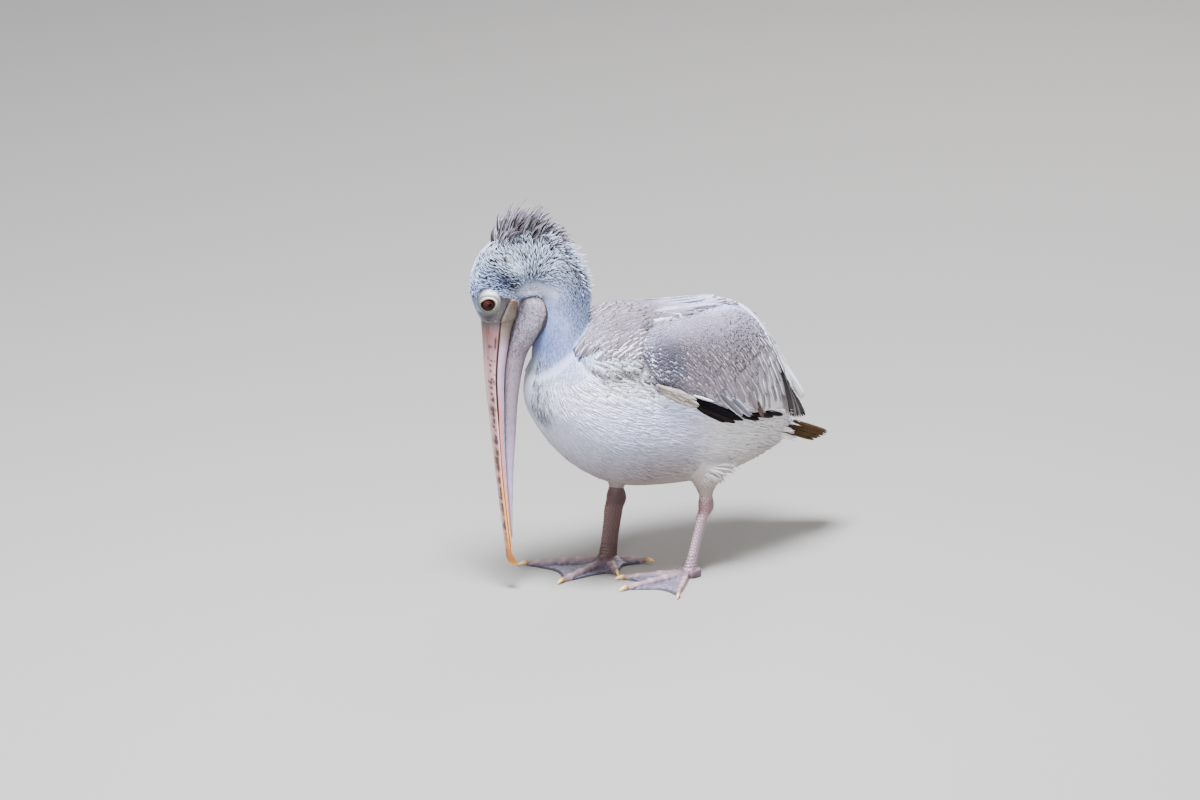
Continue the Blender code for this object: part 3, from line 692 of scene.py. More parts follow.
def bare_face(points):
    """1 on the face's bare skin, 0 under feathers: round the eye, before it and back to the jaw's hinge."""
    s, f, z = to_head(points)
    orbit = ((f - 97.0) / 14.0) ** 2 + ((z - 397.5) / 18.0) ** 2
    ring = 1 - ease(orbit, 0.85, 1.15)
    lore = ease(385 - z, 0, 5) * ease(114 - f, 0, 3)
    cheek = ease(400 + (f - 60) * 0.34 - z, 0, 4) * ease(f, 54, 58) * ease(100 - f, 0, 4)
    return np.maximum.reduce([ring, lore, cheek]) * ease(np.abs(s), 3, 9) * ease(f, 50, 54)


def face_relief(points):
    """How far the bare face rises, in millimetres: the ring's dome, brow, lid rim, lore and hinge folds."""
    s, f, z = to_head(points)
    reach, angle, orbit = round_eye(f, z)
    rise = 1.8 * (1 - ease(orbit, 0.45, 1.05)) - 0.3 * bell(orbit, 1.06, 0.07)
    rise += 2.2 * blob(f, z, (96, 410), (9.5, 5.5)) + 0.8 * blob(f, z, (100, 382), (8, 3))
    rise += 1.2 * bell(reach, 9.4, 1.1) - 0.9 * bell(reach, 11.9, 0.8)
    rise += 0.9 * bell(reach, 9.6, 1.2) * ease(np.sin(angle), 0.1, 0.8)
    rings = 0.22 * np.sin(reach * 2.6 + 0.6 * np.sin(angle * 7)) * ease(reach, 12, 13)
    rise += rings * (1 - ease(orbit, 0.75, 1.0))
    rise += 0.16 * np.sin(angle * 34 + reach) * ease(reach, 10.5, 12) * (1 - ease(orbit, 0.8, 1.0))
    grain = 0.28 * np.sin(f * 1.5 + 1.6 * np.sin(z * 0.8)) * np.sin(z * 1.25 + f * 0.4)
    rise += grain * ease(orbit, 1.0, 1.1)
    gape, rear = gape_line(z)
    jaw = ease(gape - f, 0, 3) * ease(f - rear, -1, 2) * ease(406 - z, 0, 8)
    rise += 1.8 * jaw + 2.4 * blob(f, z, (65, 398), (5, 5.5))
    rise += 0.5 * np.sin(z * 1.7 + f * 0.6) * blob(f, z, (66, 395), (8, 8))
    rise -= 1.1 * bell(f, gape, 1.2) * ease(403 - z, 0, 10)
    return rise * ease(np.abs(s), 4, 10)


def face_colours(points):
    """Colours of the bare face: grey-brown skin, a pale ring round the eye, pink lids and dark lines."""
    s, f, z = to_head(points)
    reach, angle, orbit = round_eye(f, z)
    gape, rear = gape_line(z)
    tint = layered(mix(ink(132, 126, 122), ink(112, 108, 108), ease(z, 380, 400)), (
        ((158, 148, 154), ease(382 - z, 0, 8) * ease(f, 84, 92)),
        ((158, 145, 132), ease(gape - f, 0, 2) * ease(f - rear, -2, 1)),
    ))
    mottle = 0.16 * np.sin(f * 1.3 + 2 * np.sin(z * 0.7)) * np.sin(z * 1.1 + 2 * np.sin(f * 0.5))
    lid = bell(reach, 9.1, 1.0)
    return layered(tint * (1 + mottle)[..., None], (
        ((186, 190, 184), 1 - ease(orbit, 0.70, 1.06)),
        ((226, 230, 226), 0.95 * blob(f, z, (96, 409), (12, 8)) * (1 - ease(orbit, 0.8, 1.05))),
        # darker grey on the lower part of the bare ring: painted shade
        ((138, 136, 134), 0.75 * ease(EYE[2] - z, 6, 15) * (1 - ease(orbit, 0.9, 1.1))),
        ((150, 156, 148), 0.7 * bell(reach, 12.0, 1.0) * (1 - ease(orbit, 0.8, 1.0))),
        ((238, 212, 210), lid * ease(np.sin(angle), -0.1, 0.4)),
        ((128, 88, 80), lid * ease(-np.sin(angle), 0.1, 0.6) * 0.8),
        ((66, 66, 82), 0.95 * blob(f, z, (97, 375.5), (8, 3.2), -12)),
        ((70, 72, 90), 0.8 * blob(f, z, (109, 377), (2.6, 4))),
        ((172, 132, 108), 0.8 * blob(f, z, (65, 397), (4.0, 6))),
        ((226, 216, 208), 0.8 * blob(f, z, (58, 396), (1.8, 8), -10)),
        ((72, 56, 56), bell(f, gape, 1.1) * ease(404 - z, 0, 10)),
    ))


def make_skin(mesh):
    """One skin for all flesh, pressed in behind each eye, with the face's folds and the plumage's colours."""
    points, normals, triangles = mesh_arrays(mesh)
    s, f, z = to_head(points)
    bare = bare_face(points)
    near = (z > 360) & (f > 50)
    rise = np.where(near, face_relief(points) * bare, 0.0)
    outward = unit(head_way(np.sign(s), 0, 0))
    points = points + (outward * 0.75 + normals * 0.25) * rise[:, None]
    reach = np.hypot(f - EYE[1], z - EYE[2])
    socket = near & (reach < 8.4)
    ball = EYE[0] + np.sqrt(np.clip(EYE_RADIUS**2 - reach**2, 0, None)) - 1.2
    depth = np.where(socket, np.abs(s) + rise - ball, 0.0)
    points = points - outward * (depth * (1 - ease(reach, 7.4, 8.4)))[:, None]
    tip, root = plumage(points)
    # the skin takes mostly the feathers' root colours: painted shade in the gaps between feathers, and on
    # head and neck also the real navy of the roots
    tint = mix(root, tip * 0.8, 0.2)
    tint = mix(tint, face_colours(points), np.where(near, bare, 0.0))
    # the pressed-in socket round the eyeball painted near black: painted shade in the recess
    tint = mix(tint, SABLE, np.where(socket, 1 - ease(reach, 6.5, 8.3), 0.0))
    nodes = ["trunk", "neck_lower", "neck_upper", "head", "thigh_left", "thigh_right"]
    piece("skin", points, [triangles], HIDE, nodes, {"tint": tint})
    return points, normals, triangles


skin_points, skin_normals, skin_triangles = make_skin(flesh())


# ------------------------------------------------------------------ feathers
def profile(kind, reach):
    """A vane's half width along its length, as a share of its widest: tuft, lance, round, stiff or blade."""
    if kind == "tuft":
        return 0.55 + 0.45 * np.sin(np.pi * np.clip(reach * 1.35, 0, 1)) - 0.35 * reach
    if kind == "lance":
        return np.sin(np.pi * np.clip(0.16 + 0.84 * reach, 0, 1)) ** 0.8
    if kind == "round":
        return np.minimum(0.45 + 1.5 * reach, 1) * np.sqrt(np.clip(1 - ((reach - 0.5) / 0.52) ** 4, 0, 1))
    if kind == "stiff":
        return np.minimum(0.7 + 1.5 * reach, 1) * np.clip((1 - reach) * 6.0, 0, 1) ** 0.6
    return np.minimum(0.35 + 2.2 * reach, 1) * (1 - 0.35 * reach) * np.clip((1 - reach) * 5.5, 0, 1) ** 0.5


def vanes(root, lie, out, length, width, tint, edge=None, kind="tuft", rings=(0.0, 0.5), lift=0.2, bend=0.1,
          bury=0.8, ridge=0.12, sway=0.0, fade=(0.15, 0.75)):
    """Closed vanes of triangular section, all alike in build. From its root each runs along lie, rises by
    lift and bends back by bend times its length, and sways sideways; tint is a pair, root and tip."""
    count = len(root)
    measures = (length, width, lift, bend, sway, bury)
    length, width, lift, bend, sway, bury = (np.broadcast_to(value, (count,))[:, None] for value in measures)
    lie, out = flat_to(lie, out), unit(out)
    side = np.cross(lie, out)
    reach = np.array([*rings, 1.0])[None, :]
    middle = (
        root[:, None]
        + lie[:, None] * (length * reach)[..., None]
        + out[:, None] * (length * (lift * reach - bend * reach**2) - bury)[..., None]
        + side[:, None] * (length * sway * reach**2)[..., None]
    )
    half = width / 2 * np.clip(profile(kind, reach), 0.02, None)
    across = np.array([-1.0, 0.0, 1.0])
    body = middle[:, :-1, None] + side[:, None, None] * (half[:, :-1, None] * across)[..., None]
    rise = (width * ridge)[:, :, None] * (1 - np.abs(across))
    body = body + out[:, None, None] * np.broadcast_to(rise, body.shape[:3])[..., None]
    points = np.concatenate([body.reshape(count, -1, 3), middle[:, -1:]], axis=1)
    n = len(rings)
    i = 3 * np.arange(n - 1)[:, None]
    quads = np.concatenate([i + (0, 1, 4, 3), i + (1, 2, 5, 4), i + (2, 0, 3, 5)])
    last, tip = 3 * (n - 1), 3 * n
    ends = np.array([(0, 2, 1), (last, last + 1, tip), (last + 1, last + 2, tip), (last + 2, last, tip)])
    step = (np.arange(count) * (tip + 1))[:, None, None]
    share = np.concatenate([np.repeat(reach[0, :-1], 3), [1.0]])
    place = np.concatenate([np.tile(across, n), [0.0]])
    lot = random.random(count)[:, None]
    vane = np.stack(np.broadcast_arrays(place[None], share[None], lot), axis=-1)
    fading = ease(share, *fade)[None, :]
    start, end = (np.broadcast_to(c, (count, 3))[:, None] for c in tint)
    colour = mix(start, end, fading)
    rim = np.broadcast_to(tint[1] if edge is None else edge, (count, 3))[:, None] + 0 * colour
    patch = np.stack([0.5 * place, share - 0.5], axis=-1)[None] * PATCH
    return dict(
        points=points.reshape(-1, 3), vane=vane.reshape(-1, 3),
        tint=colour.reshape(-1, 3), edge=rim.reshape(-1, 3),
        faces=[(quads[None] + step).reshape(-1, 4), (ends[None] + step).reshape(-1, 3)],
        bake=(unwrap(root)[:, None] + patch).reshape(-1, 2),
    )


def unwrap(root):
    """Places on an unwrap of the skin: the turn round trunk or neck, against the length of either."""
    x, y, z = root.T
    t, angle = neck_place(root)
    body = np.stack([np.arctan2(z - 235, x) / (2 * np.pi) + 0.5, 0.02 + (y + 195) / 1000], -1)
    neck = np.stack([angle / (2 * np.pi) + 0.5, 0.53 + 0.44 * t], -1)
    on_top = (y < -95) & (z > 300)
    return np.clip(np.where(on_top[:, None], neck, body), 0.004, 0.996)


def middle_line(t):
    """Middle, half depth and crown direction of head and neck at station share t, in the side view."""
    rows = along(HEAD_NECK, t)
    throat, crown = rows[..., 0:2], rows[..., 2:4]
    return (throat + crown) / 2, np.linalg.norm(crown - throat, axis=-1) / 2, unit(crown - throat)


def neck_place(points):
    """Station share and angle from the crown line, of points on head and neck."""
    s, f, z = to_head(points)
    t = np.linspace(0, 1, 90)
    middle, half, crown = middle_line(t)
    reach = (f[:, None] - middle[:, 0]) ** 2 + (z[:, None] - middle[:, 1]) ** 2
    nearest = np.argmin(reach, axis=1)
    rise = (f - middle[nearest, 0]) * crown[nearest, 0] + (z - middle[nearest, 1]) * crown[nearest, 1]
    return t[nearest], np.arctan2(s / 33, rise / half[nearest])


def neck_flow(points):
    """At points on head and neck: the ways to the crown line and down the neck, and the points' place."""
    t, angle = neck_place(points)
    middle, half, crown = middle_line(t)
    ahead = middle_line(np.clip(t + 0.01, 0, 1))[0] - middle_line(np.clip(t - 0.01, 0, 1))[0]
    return head_way(0, crown[:, 0], crown[:, 1]), unit(head_way(0, ahead[:, 0], ahead[:, 1])), t, angle


def coat(name, parts, paint, slot, replaces=()):
    """One piece from several lots of vanes."""
    points, faces, count = [], [], 0
    for part in parts:
        points.append(part["points"])
        faces += [f + count for f in part["faces"]]
        count += len(part["points"])
    marks = {mark: np.concatenate([part[mark] for part in parts]) for mark in ("vane", "tint", "edge")}
    bake = np.concatenate([part["bake"] for part in parts])
    piece(name, np.concatenate(points), faces, paint, replaces, marks, bake)


def scatter(cell, keep):
    """Roots and normals spread over the skin where keep holds, about one to each cell of that width."""
    corners = skin_points[skin_triangles]
    middle = corners.mean(axis=1)
    inside = keep(middle)
    corners, normals = corners[inside], skin_normals[skin_triangles[inside]]
    area = np.linalg.norm(np.cross(corners[:, 1] - corners[:, 0], corners[:, 2] - corners[:, 0]), axis=1) / 2
    count = int(area.sum() / cell**2 * 5)
    pick = random.choice(len(area), count, p=area / area.sum())
    a, b = random.random((2, count))
    a, b = np.where(a + b > 1, 1 - a, a), np.where(a + b > 1, 1 - b, b)
    weight = np.stack([1 - a - b, a, b], axis=-1)[..., None]
    root = (corners[pick] * weight).sum(axis=1)
    normal = unit((normals[pick] * weight).sum(axis=1))
    key = np.floor(root / cell).astype(np.int64)
    _, first = np.unique(key @ np.array([1, 10007, 100000007]), return_index=True)
    return root[first], normal[first]


def vary(count, amount):
    """Factors spread by chance round 1, up to amount on either side."""
    return 1 + amount * (random.random(count) * 2 - 1)


def tone(colour, count, amount):
    """A colour made lighter or darker by chance, feather by feather."""
    return np.broadcast_to(colour, (count, 3)) * vary(count, amount)[:, None]


# ---- head and neck: short dense feathers, pale tips over dark roots
def on_neck(points):
    """Whether points lie on the feathered head and neck."""
    return (neck_share(points) > 0.35) & (bare_face(points) < 0.45) & ~bill_base(points)


def bill_base(points):
    """Where the bill and the pouch leave the face."""
    s, f, z = to_head(points)
    return ((f > 56) & (z < 372)) | ((f > 21.5) & (z < 397.5) & (np.abs(s) < 21))


def neck_feathers(cell, keep, length, width, stand):
    """Tufts of head and neck: they climb the cheeks, run down the neck, and stand up along the nape."""
    root, out = scatter(cell, keep)
    crown, down, t, angle = neck_flow(root)
    count = len(root)
    nape = 1 - ease(np.abs(angle), 0.25, 0.9)
    climb = ease(t, 0.02, 0.2) * (1 - ease(t, 0.38, 0.62)) * (1 - 0.9 * nape)
    lie = crown * (0.12 + 0.88 * climb)[:, None] + down * (1.0 - 1.1 * climb)[:, None]
    lie = lie + random.normal(0, 0.09, (count, 3))
    lot = random.random(count)
    dark = np.clip(head_markings(root)[1] * (0.7 + 0.6 * lot), 0, 1)
    tip = plumage(root)[0] * vary(count, 0.12)[:, None]
    long = length * vary(count, 0.25) * (0.62 + 0.48 * ease(t, 0.1, 0.35))
    long = long * (1 + 0.35 * nape * ease(t, 0.3, 0.45) * (1 - ease(t, 0.66, 0.8)))
    lift = stand * (0.45 + 0.55 * ease(dark, 0.15, 0.5) + 0.5 * lot)
    lift = lift + 0.45 * nape * ease(t, 0.24, 0.4) * (1 - ease(t, 0.64, 0.76))
    # roots at 0.66 of the tip: painted shade where the tufts overlap, mixed by dark with the real navy roots
    start = mix(tip * 0.66, NAVY, dark * neck_share(root) ** 0.5)
    return vanes(root, lie, out, long, width * vary(count, 0.2), (start, tip), lift=lift, bend=lift * 0.35,
                 bury=0.6, ridge=0.22, rings=(0.0, 0.45, 0.75), fade=(0.52, 0.84))


def nape_fringe():
    """Spiky tufts along the hind crown and nape that stand out and point down the neck."""

    def line(points):
        t, angle = neck_place(points)
        half_width = 0.40 + 0.55 * ease(t, 0.42, 0.56)
        return (np.abs(angle) < half_width) & (t > 0.39) & (t < 0.66) & on_neck(points)

    root, out = scatter(4.1, line)
    crown, down, t, angle = neck_flow(root)
    count = len(root)
    lie = down + random.normal(0, 0.3, (count, 3))
    tip = tone(ink(222, 224, 246), count, 0.07)
    long = 10.5 * vary(count, 0.35) * (1 - 0.35 * ease(t, 0.58, 0.68))
    width, lift = 2.1 * vary(count, 0.2), 1.4 * vary(count, 0.5)
    return vanes(root, lie, out, long * 0.85, width, (NAVY * 1.2, tip), rings=(0.0, 0.35, 0.7),
                 lift=lift, bend=0.3, bury=0.6, ridge=0.2, fade=(0.25, 0.6))


def make_neck_coat():
    """The coats of the head, the neck and the nape."""

    def head(points):
        return on_neck(points) & (neck_place(points)[0] < 0.5)

    def neck(points):
        return on_neck(points) & (neck_place(points)[0] >= 0.5)

    coat("coat_head", [neck_feathers(2.9, head, 11.5, 1.95, 0.27)], DOWN, "grey_feathers")
    coat("coat_neck", [neck_feathers(2.4, neck, 9.5, 2.1, 0.15)], DOWN, "grey_feathers")
    coat("coat_nape", [nape_fringe()], DOWN, "grey_feathers")


# ---- breast, flanks, belly and rump: soft white feathers
def bed_angle(points):
    """How many degrees up from the side points stand on the ring that wing and mantle lie on."""
    x, y, z = np.moveaxis(points, -1, 0)
    rows = bed_rows(y)
    middle, tall = (rows[..., 1] + rows[..., 2]) / 2, (rows[..., 1] - rows[..., 2]) / 2
    return np.degrees(np.arctan2((z - middle) * rows[..., 3], np.abs(x) * tall))


def on_wing(points, margin=0.0):
    """Whether points lie under a folded wing, margin inside its border."""
    y, angle = points[..., 1], bed_angle(points)
    lower, upper = at(WING, y)[..., 1] + margin, at(WING, y)[..., 2] - margin
    return (y > WING[0][0] + margin) & (y < 186) & (angle > lower) & (angle < upper)


def on_mantle(points, margin=0.0):
    """Whether points lie under the mantle, margin inside its border."""
    y, angle = points[..., 1], bed_angle(points)
    return (y > MANTLE[0][0] + margin) & (y < MANTLE[-1][0]) & (angle > at(MANTLE, y)[..., 1] + margin)


def body_feathers(cell, keep, length, width):
    """Soft tufts that run back and down over the trunk, and straight down on breast and thighs."""
    root, out = scatter(cell, keep)
    count = len(root)
    x, y, z = root.T
    fall = 0.25 + 1.5 * np.exp(-np.clip(y + 186, 0, None) / 22) + 0.12 * ease(y, -60, 40)
    lie = np.stack([0.05 * np.sign(x), np.ones(count), -fall], -1)
    shank = ease(150 - z, 0, 28)[:, None]
    lie = lie * (1 - shank) + np.array([0.0, 0.12, -1.0]) * shank
    neck = neck_share(root)[:, None]
    lie = lie * (1 - neck) + neck_flow(root)[1] * neck + random.normal(0, 0.065, (count, 3))
    tip, start = plumage(root)
    start = mix(start, tip * 0.88, 0.9 * (1 - neck[:, 0]))
    tip = tip * vary(count, 0.07)[:, None]
    fluff = ease(y, 70, 150) * ease(250 - z, 0, 40)
    long = length * vary(count, 0.2) * (0.75 + 0.35 * ease(y, -180, -80))
    long = long * (1 - 0.72 * shank[:, 0]) * (1 - 0.3 * fluff)
    before_wing, at_vent = on_wing(root + (0, 16, -3), 2.0) & (y < 150), (y > 172) & (z > 160)
    long = long * np.where(before_wing, 0.4, np.where(at_vent, 0.7, 1.0))
    wide = width * vary(count, 0.25)
    lift = (0.06 + 0.12 * fluff) * (1 - 0.85 * shank[:, 0]) * vary(count, 0.6)
    return vanes(root, lie, out, long, wide, (start, tip), lift=lift, bend=0.06, bury=0.6, ridge=0.05,
                 rings=(0.0, 0.4, 0.8), fade=(0.05, 0.5), sway=random.normal(0, 0.05, count))


def make_body_coat():
    """The coats of the breast, of belly and thighs, and of the rump between the wings' ends."""

    def bare_trunk(points):
        x, y, z = np.moveaxis(points, -1, 0)
        seam = (z > 318) & (y > -50) & (y < 150)
        covered = seam | on_wing(points, 4.0) | on_mantle(points, 4.0) | on_neck(points) | bill_base(points)
        return ~covered & (z > 101) & (z < 366)

    def breast(points):
        return bare_trunk(points) & (points[:, 1] < -30)

    def belly(points):
        return bare_trunk(points) & (points[:, 1] >= -30)

    def rump(points):
        x, y, z = np.moveaxis(points, -1, 0)
        return ~bare_trunk(points) & (y > 138) & (z > 205) & (np.abs(x) < 26)

    coat("coat_rump", [body_feathers(4.2, rump, 20, 6.0)], DOWN, "white_feathers")
    coat("coat_breast", [body_feathers(2.9, breast, 22, 3.0)], DOWN, "white_feathers")
    coat("coat_belly", [body_feathers(3.1, belly, 27, 3.2)], DOWN, "white_feathers")


make_neck_coat()
make_body_coat()


# ---- mantle and shoulders: lance-shaped feathers, pale edges on brown-grey centres
def surface_frame(surface, a, b, step=0.5):
    """Points and outward normals of a surface given by two parameter arrays."""
    root = surface(a, b)
    along_a, along_b = surface(a + step, b) - root, surface(a, b + step * 0.01) - root
    return root, unit(np.cross(along_a, along_b))


def mantle_face(y, share):
    """The mantle's face at y; share is -1 at the left edge, 0 on the back's ridge and 1 at the right edge."""
    rows = at(MANTLE, y)
    angle = np.radians(90 - (90 - rows[..., 1]) * -share)
    return wing_bed(y, angle, BED + (rows[..., 2] + 1.0) * (1 - ease(np.abs(share), 0.72, 1.0)) - 4.4)


def make_mantle_coat():
    """Rows of lances from the shoulders back over the ridge, each row set half a step from the last."""
    y = np.arange(-141, 112, 7.4)
    arc = 2 * 95 * np.radians(90 - at(MANTLE, y)[:, 1])
    rows = []
    for number, (place, length) in enumerate(zip(y, arc)):
        share = np.arange(-1, 1, 2 * 6.0 / length) + (number % 2) * 6.0 / length
        rows.append(np.stack([np.full(len(share), place), share], axis=-1))
    grid = np.concatenate(rows)
    place = grid[:, 0] + random.normal(0, 1.5, len(grid))
    share = np.clip(grid[:, 1] + random.normal(0, 0.015, len(grid)), -0.99, 0.99)
    root, out = surface_frame(mantle_face, place, share)
    out = out * np.sign(out[:, 2:] + 0.15 * np.sign(out[:, :1]) * np.sign(root[:, :1]))
    count = len(root)
    low = ease(np.abs(share), 0.1, 0.9)
    front = 1 - ease(place, -90, -20)
    rise = 0.42 * low * front - 0.25 * (1 - front)
    lie = np.stack([-0.22 * np.sign(root[:, 0]) * low * front, np.ones(count), rise], -1)
    lie = lie + random.normal(0, 0.05, (count, 3))
    pale = ease(place, -40, 60) * (1 - 0.5 * low)
    centre = mix(tone(ink(170, 159, 168), count, 0.24), ink(212, 208, 220), pale)
    rim = tone(ink(242, 241, 252), count, 0.05)
    length = (24 + 12 * ease(place, -130, -60)) * vary(count, 0.15)
    # roots at 0.6 of the centre: painted shade where the lances overlap
    part = vanes(root, lie, out, length, 8.0 * vary(count, 0.15), (centre * 0.6, centre), rim, "lance",
                 (0.0, 0.22, 0.5, 0.8), lift=0.10, bend=0.10, bury=0.8, ridge=0.18,
                 sway=random.normal(0, 0.05, count))
    coat("coat_mantle", [part], FRINGED, "silver_feathers", ["mantle"])


def make_shoulder_coat():
    """Small feathers with a dark lens between the mantle's edge and the wrist, hanging down and back."""

    def shoulder(points):
        x, y, z = np.moveaxis(points, -1, 0)
        level = (z > 252 + 0.30 * np.abs(y + 60)) & (z < 332)
        return (y > -132) & (y < -38) & level & ~on_wing(points, 2.0) & (neck_share(points) < 0.4)

    root, out = scatter(6.0, shoulder)
    count = len(root)
    x, y, z = root.T
    lie = np.stack([0.1 * np.sign(x), np.full(count, 0.75), np.full(count, -0.6)], -1)
    lie = lie + random.normal(0, 0.1, (count, 3))
    lens = (ease(z - 0.30 * np.abs(y + 60), 256, 282) * (0.4 + 0.6 * random.random(count)))[:, None]
    base = plumage(root)[0]
    centre = base * (1 - lens) + tone(ink(128, 118, 128), count, 0.25) * lens
    length, width, rim = 16 * vary(count, 0.2), 7.0 * vary(count, 0.2), base * vary(count, 0.05)[:, None]
    part = vanes(root, lie, out, length, width, (centre, centre), rim, "lance", (0.0, 0.3, 0.7),
                 lift=0.11, bend=0.1, bury=0.5, ridge=0.16)
    coat("coat_shoulder", [part], FRINGED, "silver_feathers")


# ---- wings
def wing_frame(y, across, sign):
    """Root and outward normal on the folded wing."""
    root, out = surface_frame(lambda a, b: wing_skin(a, b, 3.2), y, across)
    outward = root * (1, 0, 1) - (0, 0, 235)
    out = out * np.sign(np.sum(out * outward, axis=1, keepdims=True))
    return mirrored(root, sign), mirrored(out, sign)


def wing_arc(y):
    """Length round the wing at y, from its lower to its upper edge."""
    rows, bed = at(WING, y), bed_rows(y)
    radius = (bed[..., 1] - bed[..., 2] + 2 * bed[..., 3]) / 4
    return np.radians(rows[..., 2] - rows[..., 1]) * radius


def covert_length(place):
    """Length of the coverts at a place across their rows, from the wrist down to the long rear ones."""
    return np.interp(place, (-90, -40, 0, 25, 60, 130), (9, 10.5, 17, 26, 38, 46))


def covert_width(long):
    """Width of a covert of that length."""
    return np.interp(long, (9, 17, 26, 46), (5.4, 7.2, 10.0, 13.5))


def covert_rows():
    """Staggered rows of coverts: place across the rows, place along the row, and length of each."""
    rows, place = [], -98.0
    while place < 132:
        long = covert_length(place)
        gap = covert_width(long) * np.interp(long, (17, 34), (0.60, 0.84))
        b = np.arange(-70, 262, gap) + (len(rows) % 2) * gap * np.interp(long, (22, 32), (0.5, 0.2))
        rows.append(np.stack([np.full(len(b), place), b, np.full(len(b), long)], axis=-1))
        place += long * np.interp(long, (17, 34), (0.37, 0.56))
    return np.concatenate(rows).T


def make_coverts(name, sign):
    """Rows that run with the forearm: scale-like at the wrist and leading edge, long and silvery below."""
    slope = np.radians(52)
    a, b, long = covert_rows()
    a = a + random.normal(0, 0.06, len(a)) * long
    b = b + random.normal(0, 0.5, len(b))
    y = a * np.cos(slope) + b * np.sin(slope)
    height = -a * np.sin(slope) + b * np.cos(slope)
    round_wing = wing_arc(np.clip(y, -58, 190))
    inside = (y > -64) & (y + 0.35 * long < 172) & (height < round_wing + 7)
    inside = inside & (height > -11 * (1 - ease(y, -58, -20)))
    y, height, long, round_wing = y[inside], height[inside], long[inside], round_wing[inside]
    across = height / round_wing
    long = long * (0.6 + 0.4 * ease(y, -55, 15)) * (1 - 0.25 * ease(across, 0.7, 1.0))
    steep = np.radians(40 + 30 * ease(y, -50, 150) - 14 * ease(across, 0.5, 1.0))
    room = (height + 8) / np.sin(steep) / 1.05
    fits = (long < room + 9) | (long < 17)
    y, height, across, steep = y[fits], height[fits], across[fits], steep[fits]
    long = np.where(long < 17, long, np.clip(long, 0, np.maximum(room, 10)))[fits]
    root, out = wing_frame(y, across, sign)
    count = len(root)
    edge = (1 - ease(height - 7, 0, 4)) * ease(y, -44, -30) * (1 - ease(y, 4, 16))
    steep = steep + (np.radians(32.0) - steep) * edge
    lie = np.stack([0.12 * sign * np.ones(count), np.cos(steep), -np.sin(steep)], -1)
    lie = lie + random.normal(0, 0.06, (count, 3))
    wrist = 1 - ease(np.hypot(y + 45, (height - 38) * 0.8), 18, 52)
    rear = ease(long, 18, 34)
    base = mix(ink(184, 176, 184), ink(158, 148, 156), ease(across, 0.12, 0.4))
    centre = mix(base * vary(count, 0.3)[:, None], tone(SLATE, count, 0.35), wrist * 0.9)
    centre = mix(centre, tone(ink(188, 182, 188), count, 0.25), 0.95 * rear)
    centre = mix(centre, tone(ink(190, 185, 196), count, 0.2), 0.8 * ease(across, 0.5, 0.85))
    centre = mix(centre, ink(214, 214, 230), ease(across, 0.84, 0.97) * ease(y, 40, 110))
    rim = mix(tone(ink(244, 241, 252), count, 0.06), ink(204, 204, 218), wrist)
    small = long < 21
    for kind, chosen, rings, paint, nodes in (
        ("lance", small, (0.0, 0.3, 0.7), FRINGED, [f"wing_{name}_coverts"]),
        ("blade", ~small, (0.0, 0.12, 0.35, 0.6, 0.8, 0.93), LONG, [f"wing_{name}_secondaries"]),
    ):
        n = int(chosen.sum())
        behind, tint = rear[chosen], centre[chosen]
        length, width = long[chosen] * 1.12 * vary(n, 0.16), covert_width(long[chosen]) * vary(n, 0.12)
        # roots darker than the centre: painted shade where the coverts overlap
        part = vanes(root[chosen], lie[chosen], out[chosen], length, width,
                     (tint * (0.64 + 0.16 * behind[:, None]), tint), rim[chosen], kind, rings,
                     lift=0.12 - 0.03 * behind, bend=0.10 + 0.02 * behind, bury=0.5, ridge=0.16,
                     sway=random.normal(0, 0.03, n))
        coat(f"coat_wing_{name}_{kind}", [part], paint, "silver_feathers", nodes)


def quill(start, end, out, width, tint, edge, kind="blade", bend=0.08, ridge=0.06):
    """Large single vanes from start towards end, given as rows of points."""
    start, end, out = (np.atleast_2d(np.asarray(v, float)) for v in (start, end, out))
    length = np.linalg.norm(end - start, axis=1)
    along_vane = (end - start) / length[:, None]
    side = np.cross(along_vane, out)
    out = unit(np.cross(side, along_vane))
    rings = (0.0, 0.1, 0.25, 0.45, 0.65, 0.8, 0.91, 0.975)
    return vanes(start, along_vane, out, length, width, tint, edge, kind, rings,
                 lift=bend, bend=bend, bury=0.0, ridge=ridge, fade=(0.0, 0.6))


def laid(sign, start, end, grow, width, tint, rim, kind="blade", tilt=0.1):
    """One large feather on the body's bed: start and end are y and angle up from the side."""
    rows = zip((start, end), grow)
    ends = (mirrored(wing_bed(y, np.radians(angle), far), sign) for (y, angle), far in rows)
    return quill(*ends, (sign, 0.1, tilt), width, tint, rim, kind, 0.04, 0.09)


